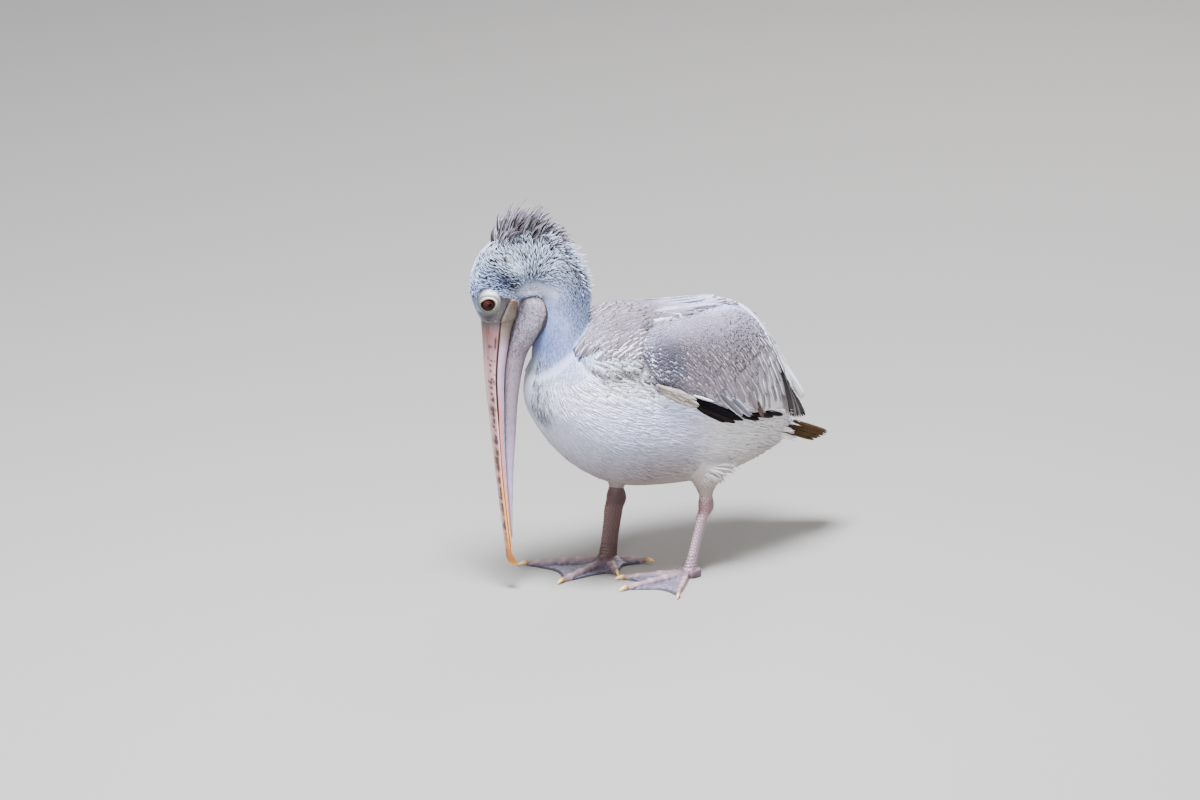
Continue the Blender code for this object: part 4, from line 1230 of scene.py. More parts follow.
def make_large_feathers(name, sign):
    """Alula, the feathers that overlap it, flight feathers before the rump, and white tertials behind."""
    black, brown = (ink(9, 7, 11), ink(15, 12, 18)), (ink(34, 22, 22), ink(46, 32, 30))
    parts = [laid(sign, *row) for row in (
        ((0, 7.5), (80, -4.8), (3.8, 4.0), 9, black, ink(40, 36, 48)),
        ((5, 5.0), (89, -8.0), (3.4, 3.7), 12, black, ink(40, 36, 48)),
        ((9, 2.8), (75, -8.2), (3.0, 3.3), 11, brown, ink(70, 50, 48)),
        ((10, 2.2), (58, -6.4), (2.6, 3.0), 9, black, ink(40, 36, 48)),
        ((84, -5), (120, -10.2), (1.6, 2.6), 8, black, ink(30, 26, 34)),
        ((106, -6), (148, -9.4), (1.6, 2.6), 8, brown, ink(60, 44, 40)),
        ((132, -6), (170, -8.0), (1.6, 2.6), 7, black, ink(30, 26, 34)),
    )]
    coat(f"alula_{name}", parts, GLOSSY, "black_feathers", [f"wing_{name}_alula"])
    coat(f"wrist_down_{name}", wrist_down(sign), DOWN, "white_feathers")
    painted_highlight, dusk = (ink(228, 228, 236), ink(240, 240, 248)), (ink(128, 126, 136), ink(150, 148, 158))
    rose, umber = (ink(150, 136, 138), ink(172, 160, 162)), (ink(96, 78, 74), ink(124, 104, 98))
    parts = [laid(sign, *row) for row in (
        # a narrow white feather along the black alula's top edge: a painted highlight
        ((3, 9.0), (36, 4.4), (5.0, 5.2), 4, painted_highlight, painted_highlight[1]),
        ((44, 9), (85, -5.0), (5.4, 5.6), 12, dusk, ink(232, 230, 238)),
        ((66, 5), (101, -6.5), (5.6, 5.0), 11, (dusk[0] * 1.3, dusk[1] * 1.3), ink(232, 230, 238)),
        ((110, 1), (126, -8.5), (3.6, 4.4), 10, umber, ink(176, 160, 152)),
        ((92, 8.5), (110, -3.5), (5.6, 5.8), 11, rose, ink(222, 212, 212)),
    )]
    coat(f"wrist_feathers_{name}", parts, CURLED, "silver_feathers")
    ash = (ink(140, 128, 128), ink(168, 158, 160))
    parts = []
    for share, (tint, edge) in zip(np.arange(10) / 9, (
        (ash, 214), (ash, 214), (black, 60), (brown, 96), (black, 60),
        (ash, 206), (brown, 96), (ash, 196), (black, 60), (black, 60),
    )):
        start, end = (148 + 44 * share, 36 - 24 * share), (174 + 49 * share, -6.5 - 7.5 * share)
        grow = 7.6 - share, 6.4 - 2.8 * share
        parts.append(laid(sign, start, end, grow, 7.5, tint, ink(edge, edge, edge)))
    coat(f"flight_feathers_{name}", parts, SLEEK, "black_feathers", [f"wing_{name}_primaries"])
    coat(f"tertials_{name}", tertials(sign), SLEEK, "white_feathers", [f"wing_{name}_tertials"])


def wrist_down(sign):
    """Thirty cream feathers in three bands along the wing's leading edge."""
    root, tip = ink(186, 181, 174), ink(198, 194, 188)
    parts = []
    for i in range(30):
        step, band = i // 3, i % 3
        ends = []
        for y, share in ((-50 + 4.6 * step, 0.15 + 0.32 * band), (-50 + 4.6 * step + 20, 0.25 + 0.32 * band)):
            upper = np.interp(y, (-50, -24, 0, 12), (16, 13.5, 9, 5))
            lower = np.interp(y, (-50, -33, -13, 10), (14, 8.0, 4.0, 2.6))
            ends.append((y + random.normal(0, 2.0), upper + (lower - upper) * share + random.normal(0, 0.6)))
        tint = root * 0.92, tip * (1.1 if i % 2 else 1.0)
        parts.append(laid(sign, *ends, (5.0 - 0.5 * band, 5.6 - 0.7 * band), 6, tint, None, "lance"))
    return parts


def tertials(sign):
    """Two broad rounded feathers beside the rump, and two rows of long white ones over the wing's end."""
    root, tip, rim = ink(222, 225, 236), ink(236, 238, 246), ink(242, 244, 252)
    parts = []
    for i in range(2):
        start, end = (167 + 4 * i, 33 - 3 * i), (218 + 4 * i, 15 + 2 * i)
        parts.append(laid(sign, start, end, (6.4, 2.6 - i), 15 - 3 * i, (root, tip), rim, "round", 0.5))
    for i in range(26):
        row, i = i % 2, i // 2
        slip, turn, pale = random.normal(0, 2.2), random.normal(0, 1.2), random.uniform(0.72, 1.0)
        start = 138 + 16 * row + i, 88 - 4.2 * i
        end = 174 + slip + 17 * row + 1.3 * i, 70 + turn - 4.4 * i
        # roots at 0.7 of the root colour: painted shade where the rows overlap; the tips' paleness varies at
        # random
        grow, tint = (7.2 - row, 7.4 - 2.2 * row), (root * 0.7, tip * pale)
        parts.append(laid(sign, start, end, grow, 13, tint, ink(240, 242, 252), tilt=0.6))
    return parts


def make_back_feathers():
    """Long smooth scapulars that lie over the small of the back, and one brown blade on the far side."""
    parts = []
    pale, rim = (ink(186, 184, 194), ink(206, 204, 216)), ink(244, 244, 252)
    for sign in (1, -1):
        for i in range(17):
            y0 = -24 + 7.5 * i
            start, end = (y0, 72 + 0.7 * i), (y0 + 50 + i, 80 - 0.3 * i)
            parts.append(laid(sign, start, end, (2.6, 4.2 - 0.15 * i), 9, pale, rim, tilt=1.4))
    for i in range(14):
        start, end = (8 + 9 * i, 87.5), (62 + 9 * i, 88.5)
        parts.append(laid(1 if i % 2 else -1, start, end, (2.8, 3.4), 10, pale, rim, tilt=9.0))
    coat("scapulars", parts, SLEEK, "white_feathers")
    brown = ink(128, 102, 94), ink(156, 128, 118)
    blade = quill((-12, 118, 332), (-21, 187, 309), (-0.4, 0.3, 1), 15, brown, ink(230, 222, 216))
    coat("brown_tertial", [blade], SLEEK, "brown_feathers")


def make_tail_coat():
    """Twenty stiff brown feathers fanned in one arch, and soft pale coverts on all sides of their base."""
    (front, base), (rear, tip_height) = TAIL_ROOT, TAIL_TIP
    brown, rim = (ink(84, 62, 38), ink(120, 92, 60)), ink(146, 118, 84)
    parts = []
    for i, share in enumerate(np.linspace(-1, 1, 20)):
        reach = (rear - front) * (1 - 0.33 * abs(share) ** 2.0)
        drop = (tip_height - 14 - base) * (reach / (rear - front))
        start = (share * 19, front, base + 11 - share**2 * 12.0 - 0.3 * (i % 2))
        low = base + 8 + drop - 2.0 * TAIL_DROOP * share**2 - 0.3 * (i % 2)
        end = (share * TAIL_HALF_WIDTH, front + reach, low)
        parts.append(quill(start, end, (0.35 * share, 0.2, 1), 17, brown, rim, "stiff", 0.10, 0.04))
    coat("tail_feathers", parts, GLOSSY, "brown_feathers", ["tail"])
    build = dict(bury=0.5, ridge=0.12, rings=(0.0, 0.3, 0.6, 0.85), fade=(0.1, 0.6))
    count = 460
    share, back = random.uniform(-1.3, 1.3, count), random.random(count)
    top = np.arange(count) % 5 > 1
    y = 156 + 44 * back
    slope = (tip_height - 6 - base) / (rear - front)
    z = base + 8 + slope * (y - front) - 10 * share**2 + np.where(top, 1.5, -6.0)
    root = np.stack([share * (18 + 10 * back), y, z], -1)
    out = np.stack([1.2 * share, 0.15 + 0 * y, np.where(top, 1.0, -1.0)], -1)
    lie = np.stack([0.28 * share, 1 + 0 * y, np.where(top, slope, slope + 0.15)], -1)
    tip = tone(ink(240, 237, 238), count, 0.05)
    length, width = 26 * vary(count, 0.25), 7.5 * vary(count, 0.2)
    # roots at 0.8 of the tip: painted shade where the coverts overlap
    part = vanes(root, lie, out, length, width, (tip * 0.8, tip), lift=0.05, bend=0.10,
                 sway=random.normal(0, 0.08, count), **build)
    count = 220
    side = np.where(np.arange(count) % 2 == 0, 1.0, -1.0)
    back = random.random(count)
    y = 148 + 38 * back
    z = base + 2 + slope * (y - front) - random.random(count) * 15
    root = np.stack([side * (23 + 9 * back), y, z], -1)
    lie, out = np.stack([0.10 * side, 1 + 0 * y, slope + 0 * y], -1), np.stack([side, 0 * y, 0.5 + 0 * y], -1)
    tip = tip[:count]
    # roots at 0.8 of the tip: painted shade where the coverts overlap
    flank = vanes(root, lie, out, 24 * vary(count, 0.2), 7.5, (tip * 0.8, tip), lift=0.05, bend=0.08,
                  sway=random.normal(0, 0.08, count), **build)
    coat("tail_coverts", [part, flank], DOWN, "white_feathers")


# ---- crest
def make_crest_coat():
    """Curled plumes on the hind crown: broad brown-grey sickles with pale edges among fine wisps."""
    parts = []
    for locks, each, wide, tall, paler in ((120, 1, 9.5, 1.12, 0.3), (50, 3, 2.8, 0.8, 1.0)):
        share = np.repeat(np.sort(random.random(locks)) ** 0.95, each)
        count = len(share)
        t = 0.315 + 0.22 * share + random.normal(0, 0.006, count)
        lean = np.repeat(random.normal(0, 0.30, locks), each) + random.normal(0, 0.06, count)
        rows = along(HEAD_NECK, t)
        throat, crown, half = rows[:, 0:2], rows[:, 2:4], rows[:, 4]
        depth = np.linalg.norm(crown - throat, axis=-1) / 2 - 2.5
        spot = (throat + crown) / 2 + unit(crown - throat) * (depth * np.cos(lean))[:, None]
        root = from_head((half - 2) * np.sin(lean), spot[:, 0], spot[:, 1])
        fan = along(((0.10, 1.0), (-0.05, 1.0), (-0.40, 0.94), (-0.85, 0.65)), share)
        fan = fan + np.repeat(random.normal(0, 0.14, (locks, 2)), each, axis=0)
        fan = unit(fan) + random.normal(0, 0.05, (count, 2))
        lie = head_way(np.sin(lean) * 0.6 + random.normal(0, 0.05, count), fan[:, 0], fan[:, 1])
        out = head_way(random.normal(0, 0.35, count), fan[:, 1], -fan[:, 0])
        reach = along(((26,), (48,), (42,), (30,), (22,), (15,)), share)[:, 0]
        reach = reach * np.repeat(0.6 + 0.4 * random.random(locks) ** 0.7, each) * tall
        reach = reach * vary(count, 0.12) * bell(lean, 0, 0.6)
        start = tone(ink(64, 56, 66), count, 0.3)
        grey = mix(ink(92, 82, 88), ink(176, 170, 176), paler * ease(random.random(count), 0.2, 0.7))
        tip = tone(grey, count, 0.15)
        rim = tone(ink(212, 208, 214), count, 0.12)
        width, curl = wide * vary(count, 0.3), 0.34 + 0.30 * np.repeat(random.random(locks), each)
        parts.append(vanes(root, lie, out, np.maximum(reach, 9), width, (start, tip), rim, "lance",
                           (0.0, 0.16, 0.32, 0.5, 0.68, 0.85), lift=0.10, bend=curl, bury=1.0, ridge=0.10,
                           sway=random.normal(0.0, 0.2, count), fade=(0.1, 0.7)))
    coat("crest_plumes", parts, CURLED, "grey_feathers", ["crest"])


CURLED = vane_paint("curled vane", 0.66, 0.7, 0.6, 0.88, 0.3, 0.2)
make_mantle_coat()
make_shoulder_coat()
for wing_name, wing_side in (("left", 1), ("right", -1)):
    make_coverts(wing_name, wing_side)
    make_large_feathers(wing_name, wing_side)
make_back_feathers()
make_tail_coat()
make_crest_coat()


# ------------------------------------------------------------------ bill, pouch, eyes, legs
def dots(u, v, centres, sizes):
    """1 inside small ellipses on a plane of u and v, soft at their rims."""
    across, high = (u[..., None] - centres[:, 0]) / sizes[:, 0], (v[..., None] - centres[:, 1]) / sizes[:, 1]
    return (1 - ease(across**2 + high**2, 0.5, 1.4)).max(axis=-1)


def horn(name, rings, tint, paint, replaces):
    """A closed loft whose rings carry their colours; each end takes its ring's middle colour."""
    points, faces = closed_loft(rings)
    tint = np.concatenate([tint.reshape(-1, 3), [tint[0].mean(0), tint[-1].mean(0)]])
    piece(name, points, faces, paint, replaces, {"tint": tint}, outwards=True)


def spot_row(start, end, step, across, spread, wide, long):
    """Spots along the bill, one to each step, scattered about the line at across."""
    height = np.arange(start, end, step)
    count = len(height)
    across = across + random.normal(0, spread, count)
    centres = np.stack([across, height + random.normal(0, step * 0.34, count)], -1)
    return centres, np.stack([wide * vary(count, 0.35), long * vary(count, 0.5)], -1)


def bill_rows(count):
    """Stations of the bill from its tip's end up, with a short flare above them that sinks into the face."""
    rows = along(BILL, np.linspace(0, 1, count))
    above = np.linspace(4.5, 0.5, 8)[:, None]
    return np.concatenate([rows[0] + above * (1.0, 0.55, 0.1, 0.0, 0.5), rows]).T


def crowded(count):
    """Angles round a flat ring, closer together at its two thin sides."""
    angle = turns(count)[None, :]
    return angle + 0.3 * np.sin(2 * angle)


def bill_spots(tint, gone, z, deep):
    """The upper bill with its rows of dark spots in rusty halos, set a little differently on each side."""
    half = gone.shape[1] // 4 + 1
    across, height = gone[:, :half], z[:, :half]
    for centres, sizes, strength in (
        (*spot_row(60, 262, 9.6, 0.40, 0.07, 1.4, 3.4), 0.9),
        (*spot_row(262, 344, 8.2, 0.42, 0.05, 1.1, 2.2), 0.9),
        (*spot_row(120, 262, 31, 0.50, 0.06, 0.9, 1.8), 0.8),
        (*spot_row(250, 330, 19, 0.74, 0.03, 0.9, 1.4), 0.8),
        (*spot_row(200, 330, 23, 0.22, 0.04, 0.8, 1.1), 0.7),
        (np.array([[0.73, 343.0], [0.72, 336.0]]), np.array([[1.2, 5.4], [1.0, 3.6]]), 0.9),
    ):
        depth = np.interp(centres[:, 1], z[::-1, 0], deep[::-1, 0])
        sizes = sizes / np.stack([depth, np.ones(len(sizes))], -1)
        other_side = centres[::-1] * (1, 0) + centres * (0, 1)
        spots, halo = dots(across, height, centres, sizes), dots(across, height, centres, sizes * 1.7)
        other = dots(across, height + 3.7, other_side, sizes)
        rest = np.zeros((len(z), gone.shape[1] - 2 * half + 1))
        spots, halo = (np.concatenate([near, rest, other[:, :0:-1]], axis=1) for near in (spots, halo))
        tint = layered(tint, (
            ((176, 112, 96), 0.5 * strength * halo),
            ((66, 44, 42), strength * spots),
        ))
    return tint


def make_upper_bill():
    """Flat mandible with a rounded middle ridge between two grooves, and a thin rim along the mouth."""
    height, culmen, tomium, ramus, half = bill_rows(430)
    angle = crowded(160)
    lean = np.abs((angle + np.pi) % (2 * np.pi) - np.pi)
    front = np.cos(angle) > 1e-6
    rise = np.clip(np.cos(angle), 0, 1) ** 0.85
    rise = rise - 0.055 * bell(lean, 0.52, 0.13) + 0.03 * bell(lean, 0, 0.3)
    deep = (culmen - tomium)[:, None]
    rim = 0.5 * bell(lean, 1.36, 0.10)
    side = (half[:, None] + rim) * np.sin(angle)
    forward = tomium[:, None] + np.where(front, deep * rise, 0.6 * np.cos(angle))
    rings = from_head(side, forward, height[:, None])
    z = np.broadcast_to(height[:, None], forward.shape)
    gone = np.clip((culmen[:, None] - forward) / deep, 0, 1.1)
    wave = 2.2 * np.sin(angle * 11) + 1.4 * np.sin(angle * 23 + 1)
    tint = layered(mix(ink(206, 184, 190), ink(222, 196, 192), ease(gone, 0.55, 0.85)), (
        # paler along the ridge: a painted highlight
        ((222, 205, 196), 0.8 * (1 - ease(gone, 0.02, 0.22))),
        ((168, 132, 128), 0.85 * ease(z, 285, 350)),
        ((172, 104, 96), 0.75 * blob(gone * deep, z, (4.5, 355), (5, 9))),
        ((222, 194, 182), 0.7 * ease(230 - z, 0, 120)),
        ((126, 114, 118), 0.9 * ease(z + wave, 352, 364)),
    ))
    mouth = np.clip((forward - tomium[:, None]) / (0.5 + 1.3 * ease(z, 215, 262)), 0, 1)
    tint = layered(bill_spots(tint, gone, z, deep), (
        ((240, 228, 226), 0.9 * bell(gone, 0.86, 0.06) * ease(318 - z, 0, 60)),
        ((242, 204, 138), ease(gone, 0.44, 0.60) * ease(205 - z, 0, 90)),
        ((226, 178, 70), 0.85 * ease(84 - z, 0, 26)),
        ((92, 42, 44), (1 - ease(mouth, 0.6, 1.0)) * (0.15 + 0.85 * ease(z, 200, 240))),
    ))
    tint = np.where(front[..., None], tint, ink(110, 70, 70))
    horn("bill_upper_horn", rings, tint, HORN, ["bill_upper"])


def make_lower_bill():
    """The lower bill as it shows from the side: one slim strip under the mouth, with a painted highlight
    along its ridge.
    """
    height, culmen, tomium, ramus, half = bill_rows(360)
    angle = crowded(120)
    top = tomium - 1.0
    deep = (top - ramus)[:, None]
    side = (half * 0.94)[:, None] * np.sin(angle) * (1 + 0.02 * np.cos(angle))
    down = np.clip(np.cos(angle), 0, 1)
    forward = top[:, None] - deep * down ** 0.8 - 0.2 * np.clip(-np.cos(angle), 0, 1)
    rings = from_head(side, forward, height[:, None])
    z = np.broadcast_to(height[:, None], forward.shape)
    gone = np.clip((top[:, None] - forward) / deep, 0, 1)
    tint = layered(mix(ink(210, 196, 207), ink(176, 162, 152), ease(z, 322, 352)), (
        ((208, 195, 206), ease(gone, 0.3, 0.6) * ease(320 - z, 0, 80)),
        ((222, 176, 160), 0.9 * (1 - ease(gone, 0.2, 0.45)) * ease(285 - z, 0, 40)),
        # white-lilac band near the lower edge: a painted highlight
        ((232, 224, 236), 0.8 * bell(gone, 0.80, 0.12) * ease(335 - z, 0, 60)),
        ((238, 200, 144), (1 - ease(gone, 0.45, 0.8)) * ease(172 - z, 0, 80)),
        ((120, 102, 112), 0.8 * ease(gone, 0.93, 0.99) * ease(z, 180, 240)),
        ((86, 42, 44), (1 - ease(gone * deep, 0.4, 1.2)) * (0.15 + 0.85 * ease(z, 215, 250))),
    ))
    tint = np.where(np.cos(angle)[..., None] < 0, ink(110, 70, 70), tint)
    horn("bill_lower_horn", rings, tint, HORN, ["bill_lower"])


def make_nail():
    """The hooked nail over the tip, orange-yellow with a brown base to its ridge."""
    share = np.linspace(0, 1, 60)[:, None]
    height, culmen, tomium, half = np.moveaxis(along(NAIL, share), -1, 0)
    angle = turns(48)[None, :]
    swell = np.sin(share * np.pi)
    side = half * (1 + 0.05 * swell) * np.sin(angle)
    rise = np.where(np.cos(angle) > 0, culmen - tomium, 0.5) * np.cos(angle)
    forward = tomium + rise * (1 + 0.5 * swell) - 1.2 * share**2.2 - 2.2 * swell * (np.cos(angle) < 0)
    rings = from_head(side, forward, height)
    ridge = np.clip(np.cos(angle), 0, 1) + 0 * forward
    tint = mix(ink(206, 160, 38), ink(232, 190, 62), ease(share, 0.3, 1.0) + 0 * forward)
    tint = mix(tint, ink(150, 104, 62), 0.7 * ease(ridge, 0.75, 0.98) * (1 - ease(share, 0.1, 0.7)))
    horn("bill_nail_horn", rings, tint, HORN, ["bill_nail"])


def make_pouch():
    """The folded skin bag: a full lobe at the throat and a flat strip along the lower bill, speckled."""
    height, front, rear, half = np.moveaxis(along(POUCH, np.linspace(0, 1, 300)[:, None]), -1, 0)
    angle = turns(120)[None, :]
    z = np.broadcast_to(height, (300, 120))
    fold = 0.35 * np.sin(angle * 9 + z * 0.05) * ease(z, 300, 340)
    fold = fold + 0.07 * np.sin(z * 0.8 + 2 * np.cos(angle * 3)) * ease(z, 260, 330)
    side = (half + fold) * power(np.sin(angle), 0.8)
    forward = (front + rear) / 2 + (front - rear) / 2 * np.cos(angle)
    shade = (front - forward) / (front - rear)
    lip = 1.2 * bell(shade, 0.86, 0.09) * ease(z, 300, 340)
    side = side + lip * np.sign(np.sin(angle))
    rings = from_head(side, forward, z)
    dome = np.linspace(0, 1, 12)[1:, None, None]
    centre = rings[0].mean(axis=0)
    cap = centre + (rings[0] - centre) * np.sqrt(1 - (dome * 0.98) ** 2) + np.array([0, 0, 5.0]) * dome
    rings = np.concatenate([cap[::-1], rings])
    z, shade = (np.concatenate([np.repeat(v[:1], 11, axis=0), v]) for v in (z, shade))
    lobe = ease(z, 320, 350)
    tint = layered(mix(ink(184, 174, 182), ink(176, 170, 182), lobe), (
        ((190, 181, 168), 0.6 * ease(shade, 0.5, 0.7) * lobe),
        ((160, 157, 172), 0.7 * ease(z, 374, 396) * (1 - ease(shade, 0.5, 0.7))),
        ((212, 200, 216), 0.6 * ease(240 - z, 0, 90)),
    ))
    around = np.broadcast_to(np.abs((angle + np.pi) % (2 * np.pi) - np.pi) * 30, z.shape)
    for count, low, high, size, colour, strength in (
        (1900, 316, 404, 0.6, (112, 100, 108), 0.8),
        (260, 210, 330, 0.9, (112, 100, 108), 0.5),
        (700, 330, 404, 0.6, (222, 214, 206), 0.25),
    ):
        centres = np.stack([random.random(count) * 94, low + random.random(count) * (high - low)], -1)
        sizes = np.stack([size * vary(count, 0.4), size * 1.6 * vary(count, 0.5)], -1)
        chosen = (z[:, 0] > low - 4) & (z[:, 0] < high + 4)
        marks = np.zeros(z.shape)
        marks[chosen] = dots(around[chosen], z[chosen], centres, sizes)
        tint = mix(tint, ink(*colour), strength * marks)
    # a dark line along the rear edge, where the neck's feathers cover the pouch, and along the top where it
    # meets the face: painted shade between the parts
    brink = np.interp(z, (340, 352, 368, 380, 392, 400), (0.84, 0.76, 0.755, 0.835, 0.90, 0.92))
    line = ease(shade - brink, -0.075, -0.045) * ease(z, 322, 345)
    line = np.maximum(line, bell(rings[..., 2], 400, 1.5))
    tint = mix(tint, ink(62, 50, 56), 0.92 * line)
    across = 20 + random.normal(0, 2.5, 34)
    centres = np.stack([across, np.linspace(236, 392, 34) + random.normal(0, 2, 34)], -1)
    seam = dots(around, z, centres, np.stack([1.6 * vary(34, 0.3), 3.0 * vary(34, 0.5)], -1))
    tint = mix(tint, ink(92, 78, 86), 0.6 * seam)
    horn("pouch_skin", rings, tint, BAG, ["pouch"])


def make_eyes():
    """Glossy balls: black pupil, brown ring, red-brown iris with a dark border."""
    paint = Paint("eye", Roughness=0.5, Specular_IOR_Level=0.0, Coat_Weight=0.12, Coat_Roughness=0.02)
    fibre = paint.noise(2400.0, 3.0)
    paint.finish(paint.shade(paint.mark("tint"), 0.8 + fibre * 0.4))
    lean = np.linspace(0.0, np.pi, 96)[1:-1, None]
    around = turns(72)[None, :]
    bulge = 1 + 0.05 * bell(lean, 0, 0.55)
    side = EYE[0] + EYE_RADIUS * bulge * np.cos(lean) + 0 * around
    forward = EYE[1] + EYE_RADIUS * bulge * np.sin(lean) * np.cos(around)
    height = EYE[2] + EYE_RADIUS * bulge * np.sin(lean) * np.sin(around)
    reach = np.broadcast_to(EYE_RADIUS * np.sin(np.minimum(lean, np.pi / 2)), side.shape)
    tint = layered(mix(ink(10, 7, 9), ink(70, 36, 32), ease(reach, 1.7, 2.6)), (
        ((96, 46, 40), ease(reach, 4.0, 5.2)),
        ((84, 38, 34), ease(reach, 6.2, 7.2)),
        ((40, 22, 22), ease(reach, 7.4, 8.2)),
    ))
    for name, sign in (("left", 1), ("right", -1)):
        horn(f"eyeball_{name}", from_head(sign * side, forward, height), tint, paint, [f"eye_{name}"])


# ---- legs and feet
def scutes(u, v, wide, tall):
    """A rounded bump on each cell of a staggered lattice of that pitch: 1 in the middle, 0 at the border."""
    row = np.floor(v / tall)
    shift = u / wide + 0.5 * (row % 2)
    du = (shift - np.floor(shift) - 0.5) * 2
    dv = (v / tall - row - 0.5) * 2
    return np.clip(1 - np.maximum(np.abs(du), np.abs(dv)) ** 3, 0, 1)


def make_leg(name, leg):
    """Hock and shank: an oval column with small scales, broad ones in front, and ring folds at the ankle."""
    ankle, hock = leg["ankle"], leg["hock"]
    foot = between(ankle, hock, (74 - ankle[2]) / (hock[2] - ankle[2]))
    rows = along((
        (hock[0] + 1.5, hock[1] + 1, 112, 7.6, 8.4), (hock[0] + 1.0, hock[1] + 1, 102, 8.4, 9.6),
        (hock[0] + 0.5, hock[1] + 1.5, 93, 9.6, 12.6), (hock[0], hock[1] + 1.5, 84, 9.0, 13.4),
        (*foot[:2], 74, 6.8, 12.7), (*between(foot, ankle, 0.18)[:2], 62, 6.2, 12.0),
        (*between(foot, ankle, 0.36)[:2], 51, 6.0, 11.6), (*between(foot, ankle, 0.7)[:2], 29, 6.2, 11.4),
        (*ankle[:2], 10, 8.2, 12.6), (*ankle[:2], 3, 8.6, 12.8),
    ), np.linspace(0, 1, 240))
    angle = np.broadcast_to(turns(96)[None, :], (240, 96))
    z = np.broadcast_to(rows[:, 2, None], angle.shape)
    front = np.clip(np.sin(angle), 0, 1)
    u, v = angle * 9.5, z
    small = scutes(u, v + 0.35 * u, 3.1, 3.0)
    broad = scutes(u + 2.0, v + 0.25 * np.abs(u - 15), 6.2, 3.6)
    bump = small + (broad - small) * ease(front, 0.72, 0.88)
    knob = ease(z, 76, 84) * ease(104 - z, 0, 8)
    rings = sum(bell(z - place - 0.8 * np.sin(angle), 0, 0.75) for place in (13.5, 17.5, 21.8, 26.4))
    grow = 0.42 * bump * (1 - 0.5 * knob) - 0.8 * rings * (0.35 + 0.65 * front)
    side = (rows[:, 3, None] + grow) * np.cos(angle)
    fore = (rows[:, 4, None] + grow) * np.sin(angle)
    ahead = np.radians(leg["turn"])
    x = rows[:, 0, None] + side * np.cos(ahead) + fore * np.sin(ahead)
    y = rows[:, 1, None] + side * np.sin(ahead) - fore * np.cos(ahead)
    tint = mix(ink(112, 94, 100), ink(192, 178, 182), ease(bump, 0.15, 0.75))
    tint = mix(tint, tint * np.array([1.25, 1.2, 1.2]), ease(front, 0.6, 0.95))
    tint = layered(tint, (
        ((138, 96, 98), 0.75 * knob),
        ((176, 148, 148), ease(z, 98, 108)),
        # dark in the ring folds above the ankle: painted shade in their creases
        ((74, 60, 66), 0.75 * np.clip(rings, 0, 1) * (0.3 + 0.7 * front)),
        # browner on the inner side of each shank, between the legs: painted shade
        ((124, 98, 92), 0.35 * ease(-np.cos(angle) * np.sign(ankle[0]), 0.0, 0.9)),
    ))
    nodes = [f"hock_{name}", f"tarsus_{name}"]
    # each shank's tint times its leg's light: painted light on the left shank, painted shade on the right one
    horn(f"leg_{name}", np.stack([x, y, z], axis=-1), tint * leg["light"], SHANK, nodes)


def web_reach(toes, angle):
    """The web's reach at each angle: out to the toe tips, drawn in between them, short at the heel."""
    heel = 15.0
    order = sorted((np.radians(turn), reach) for _, turn, reach in toes)
    reach = np.full(angle.shape, heel)
    for (low, near), (high, far) in zip(order, order[1:]):
        share = np.clip((angle - low) / (high - low), 0, 1)
        past, left = np.clip(angle - low, 0, None), np.clip(high - angle, 0, None)
        chord = near * far * np.sin(high - low) / (near * np.sin(past) + far * np.sin(left) + 1e-9)
        drawn = chord * (1 - (0.19 if high - low < 1 else 0.33) * np.sin(np.pi * share) ** 0.85)
        reach = np.where((angle >= low) & (angle <= high), drawn, reach)
    for turn, length in (order[0], order[-1]):
        away = np.degrees(np.abs(angle - turn))
        outside = (angle < order[0][0]) | (angle > order[-1][0])
        narrow = heel + (length - heel) * np.clip(1 - away / 7, 0, 1) ** 2
        reach = np.where(outside, np.maximum(reach, narrow), reach)
    return reach


def toe_relief(radius, angle, toes):
    """The toes as ridges on rays from the ankle: height, share of toe and bulge of a joint at each point."""
    ridge, toe_share, joint = np.zeros_like(radius), np.zeros_like(radius), np.zeros_like(radius)
    for toe, turn, length in toes:
        away = (np.radians(turn) - angle + np.pi) % (2 * np.pi) - np.pi
        distance = radius * np.sin(np.clip(np.abs(away), 0, np.pi / 2))[:, None]
        count = {"outer": 4, "middle": 3, "inner": 2, "hind": 1}[toe]
        places = length * (0.30 + 0.66 * (np.arange(count) + 0.5) / count)
        bulge = sum(bell(radius, place, 4.2) for place in places)
        thick = TOE_RADIUS * (1.22 - 0.52 * np.clip(radius / length, 0, 1)) * (1 + 0.20 * bulge)
        dome = np.sqrt(np.clip(1 - (distance / (thick * 1.05)) ** 2, 0, 1))
        scale = 0.35 * np.abs(np.sin(np.pi * radius / 3.3)) ** 0.5 * dome
        high = thick * dome * np.clip((radius - 4) / 8, 0, 1) + scale
        joint = np.where(high > ridge, bulge * dome + 0.6 * scale, joint)
        toe_share = np.maximum(toe_share, ease(dome, 0.25, 0.75))
        ridge = np.maximum(ridge, high)
    return ridge, toe_share, joint


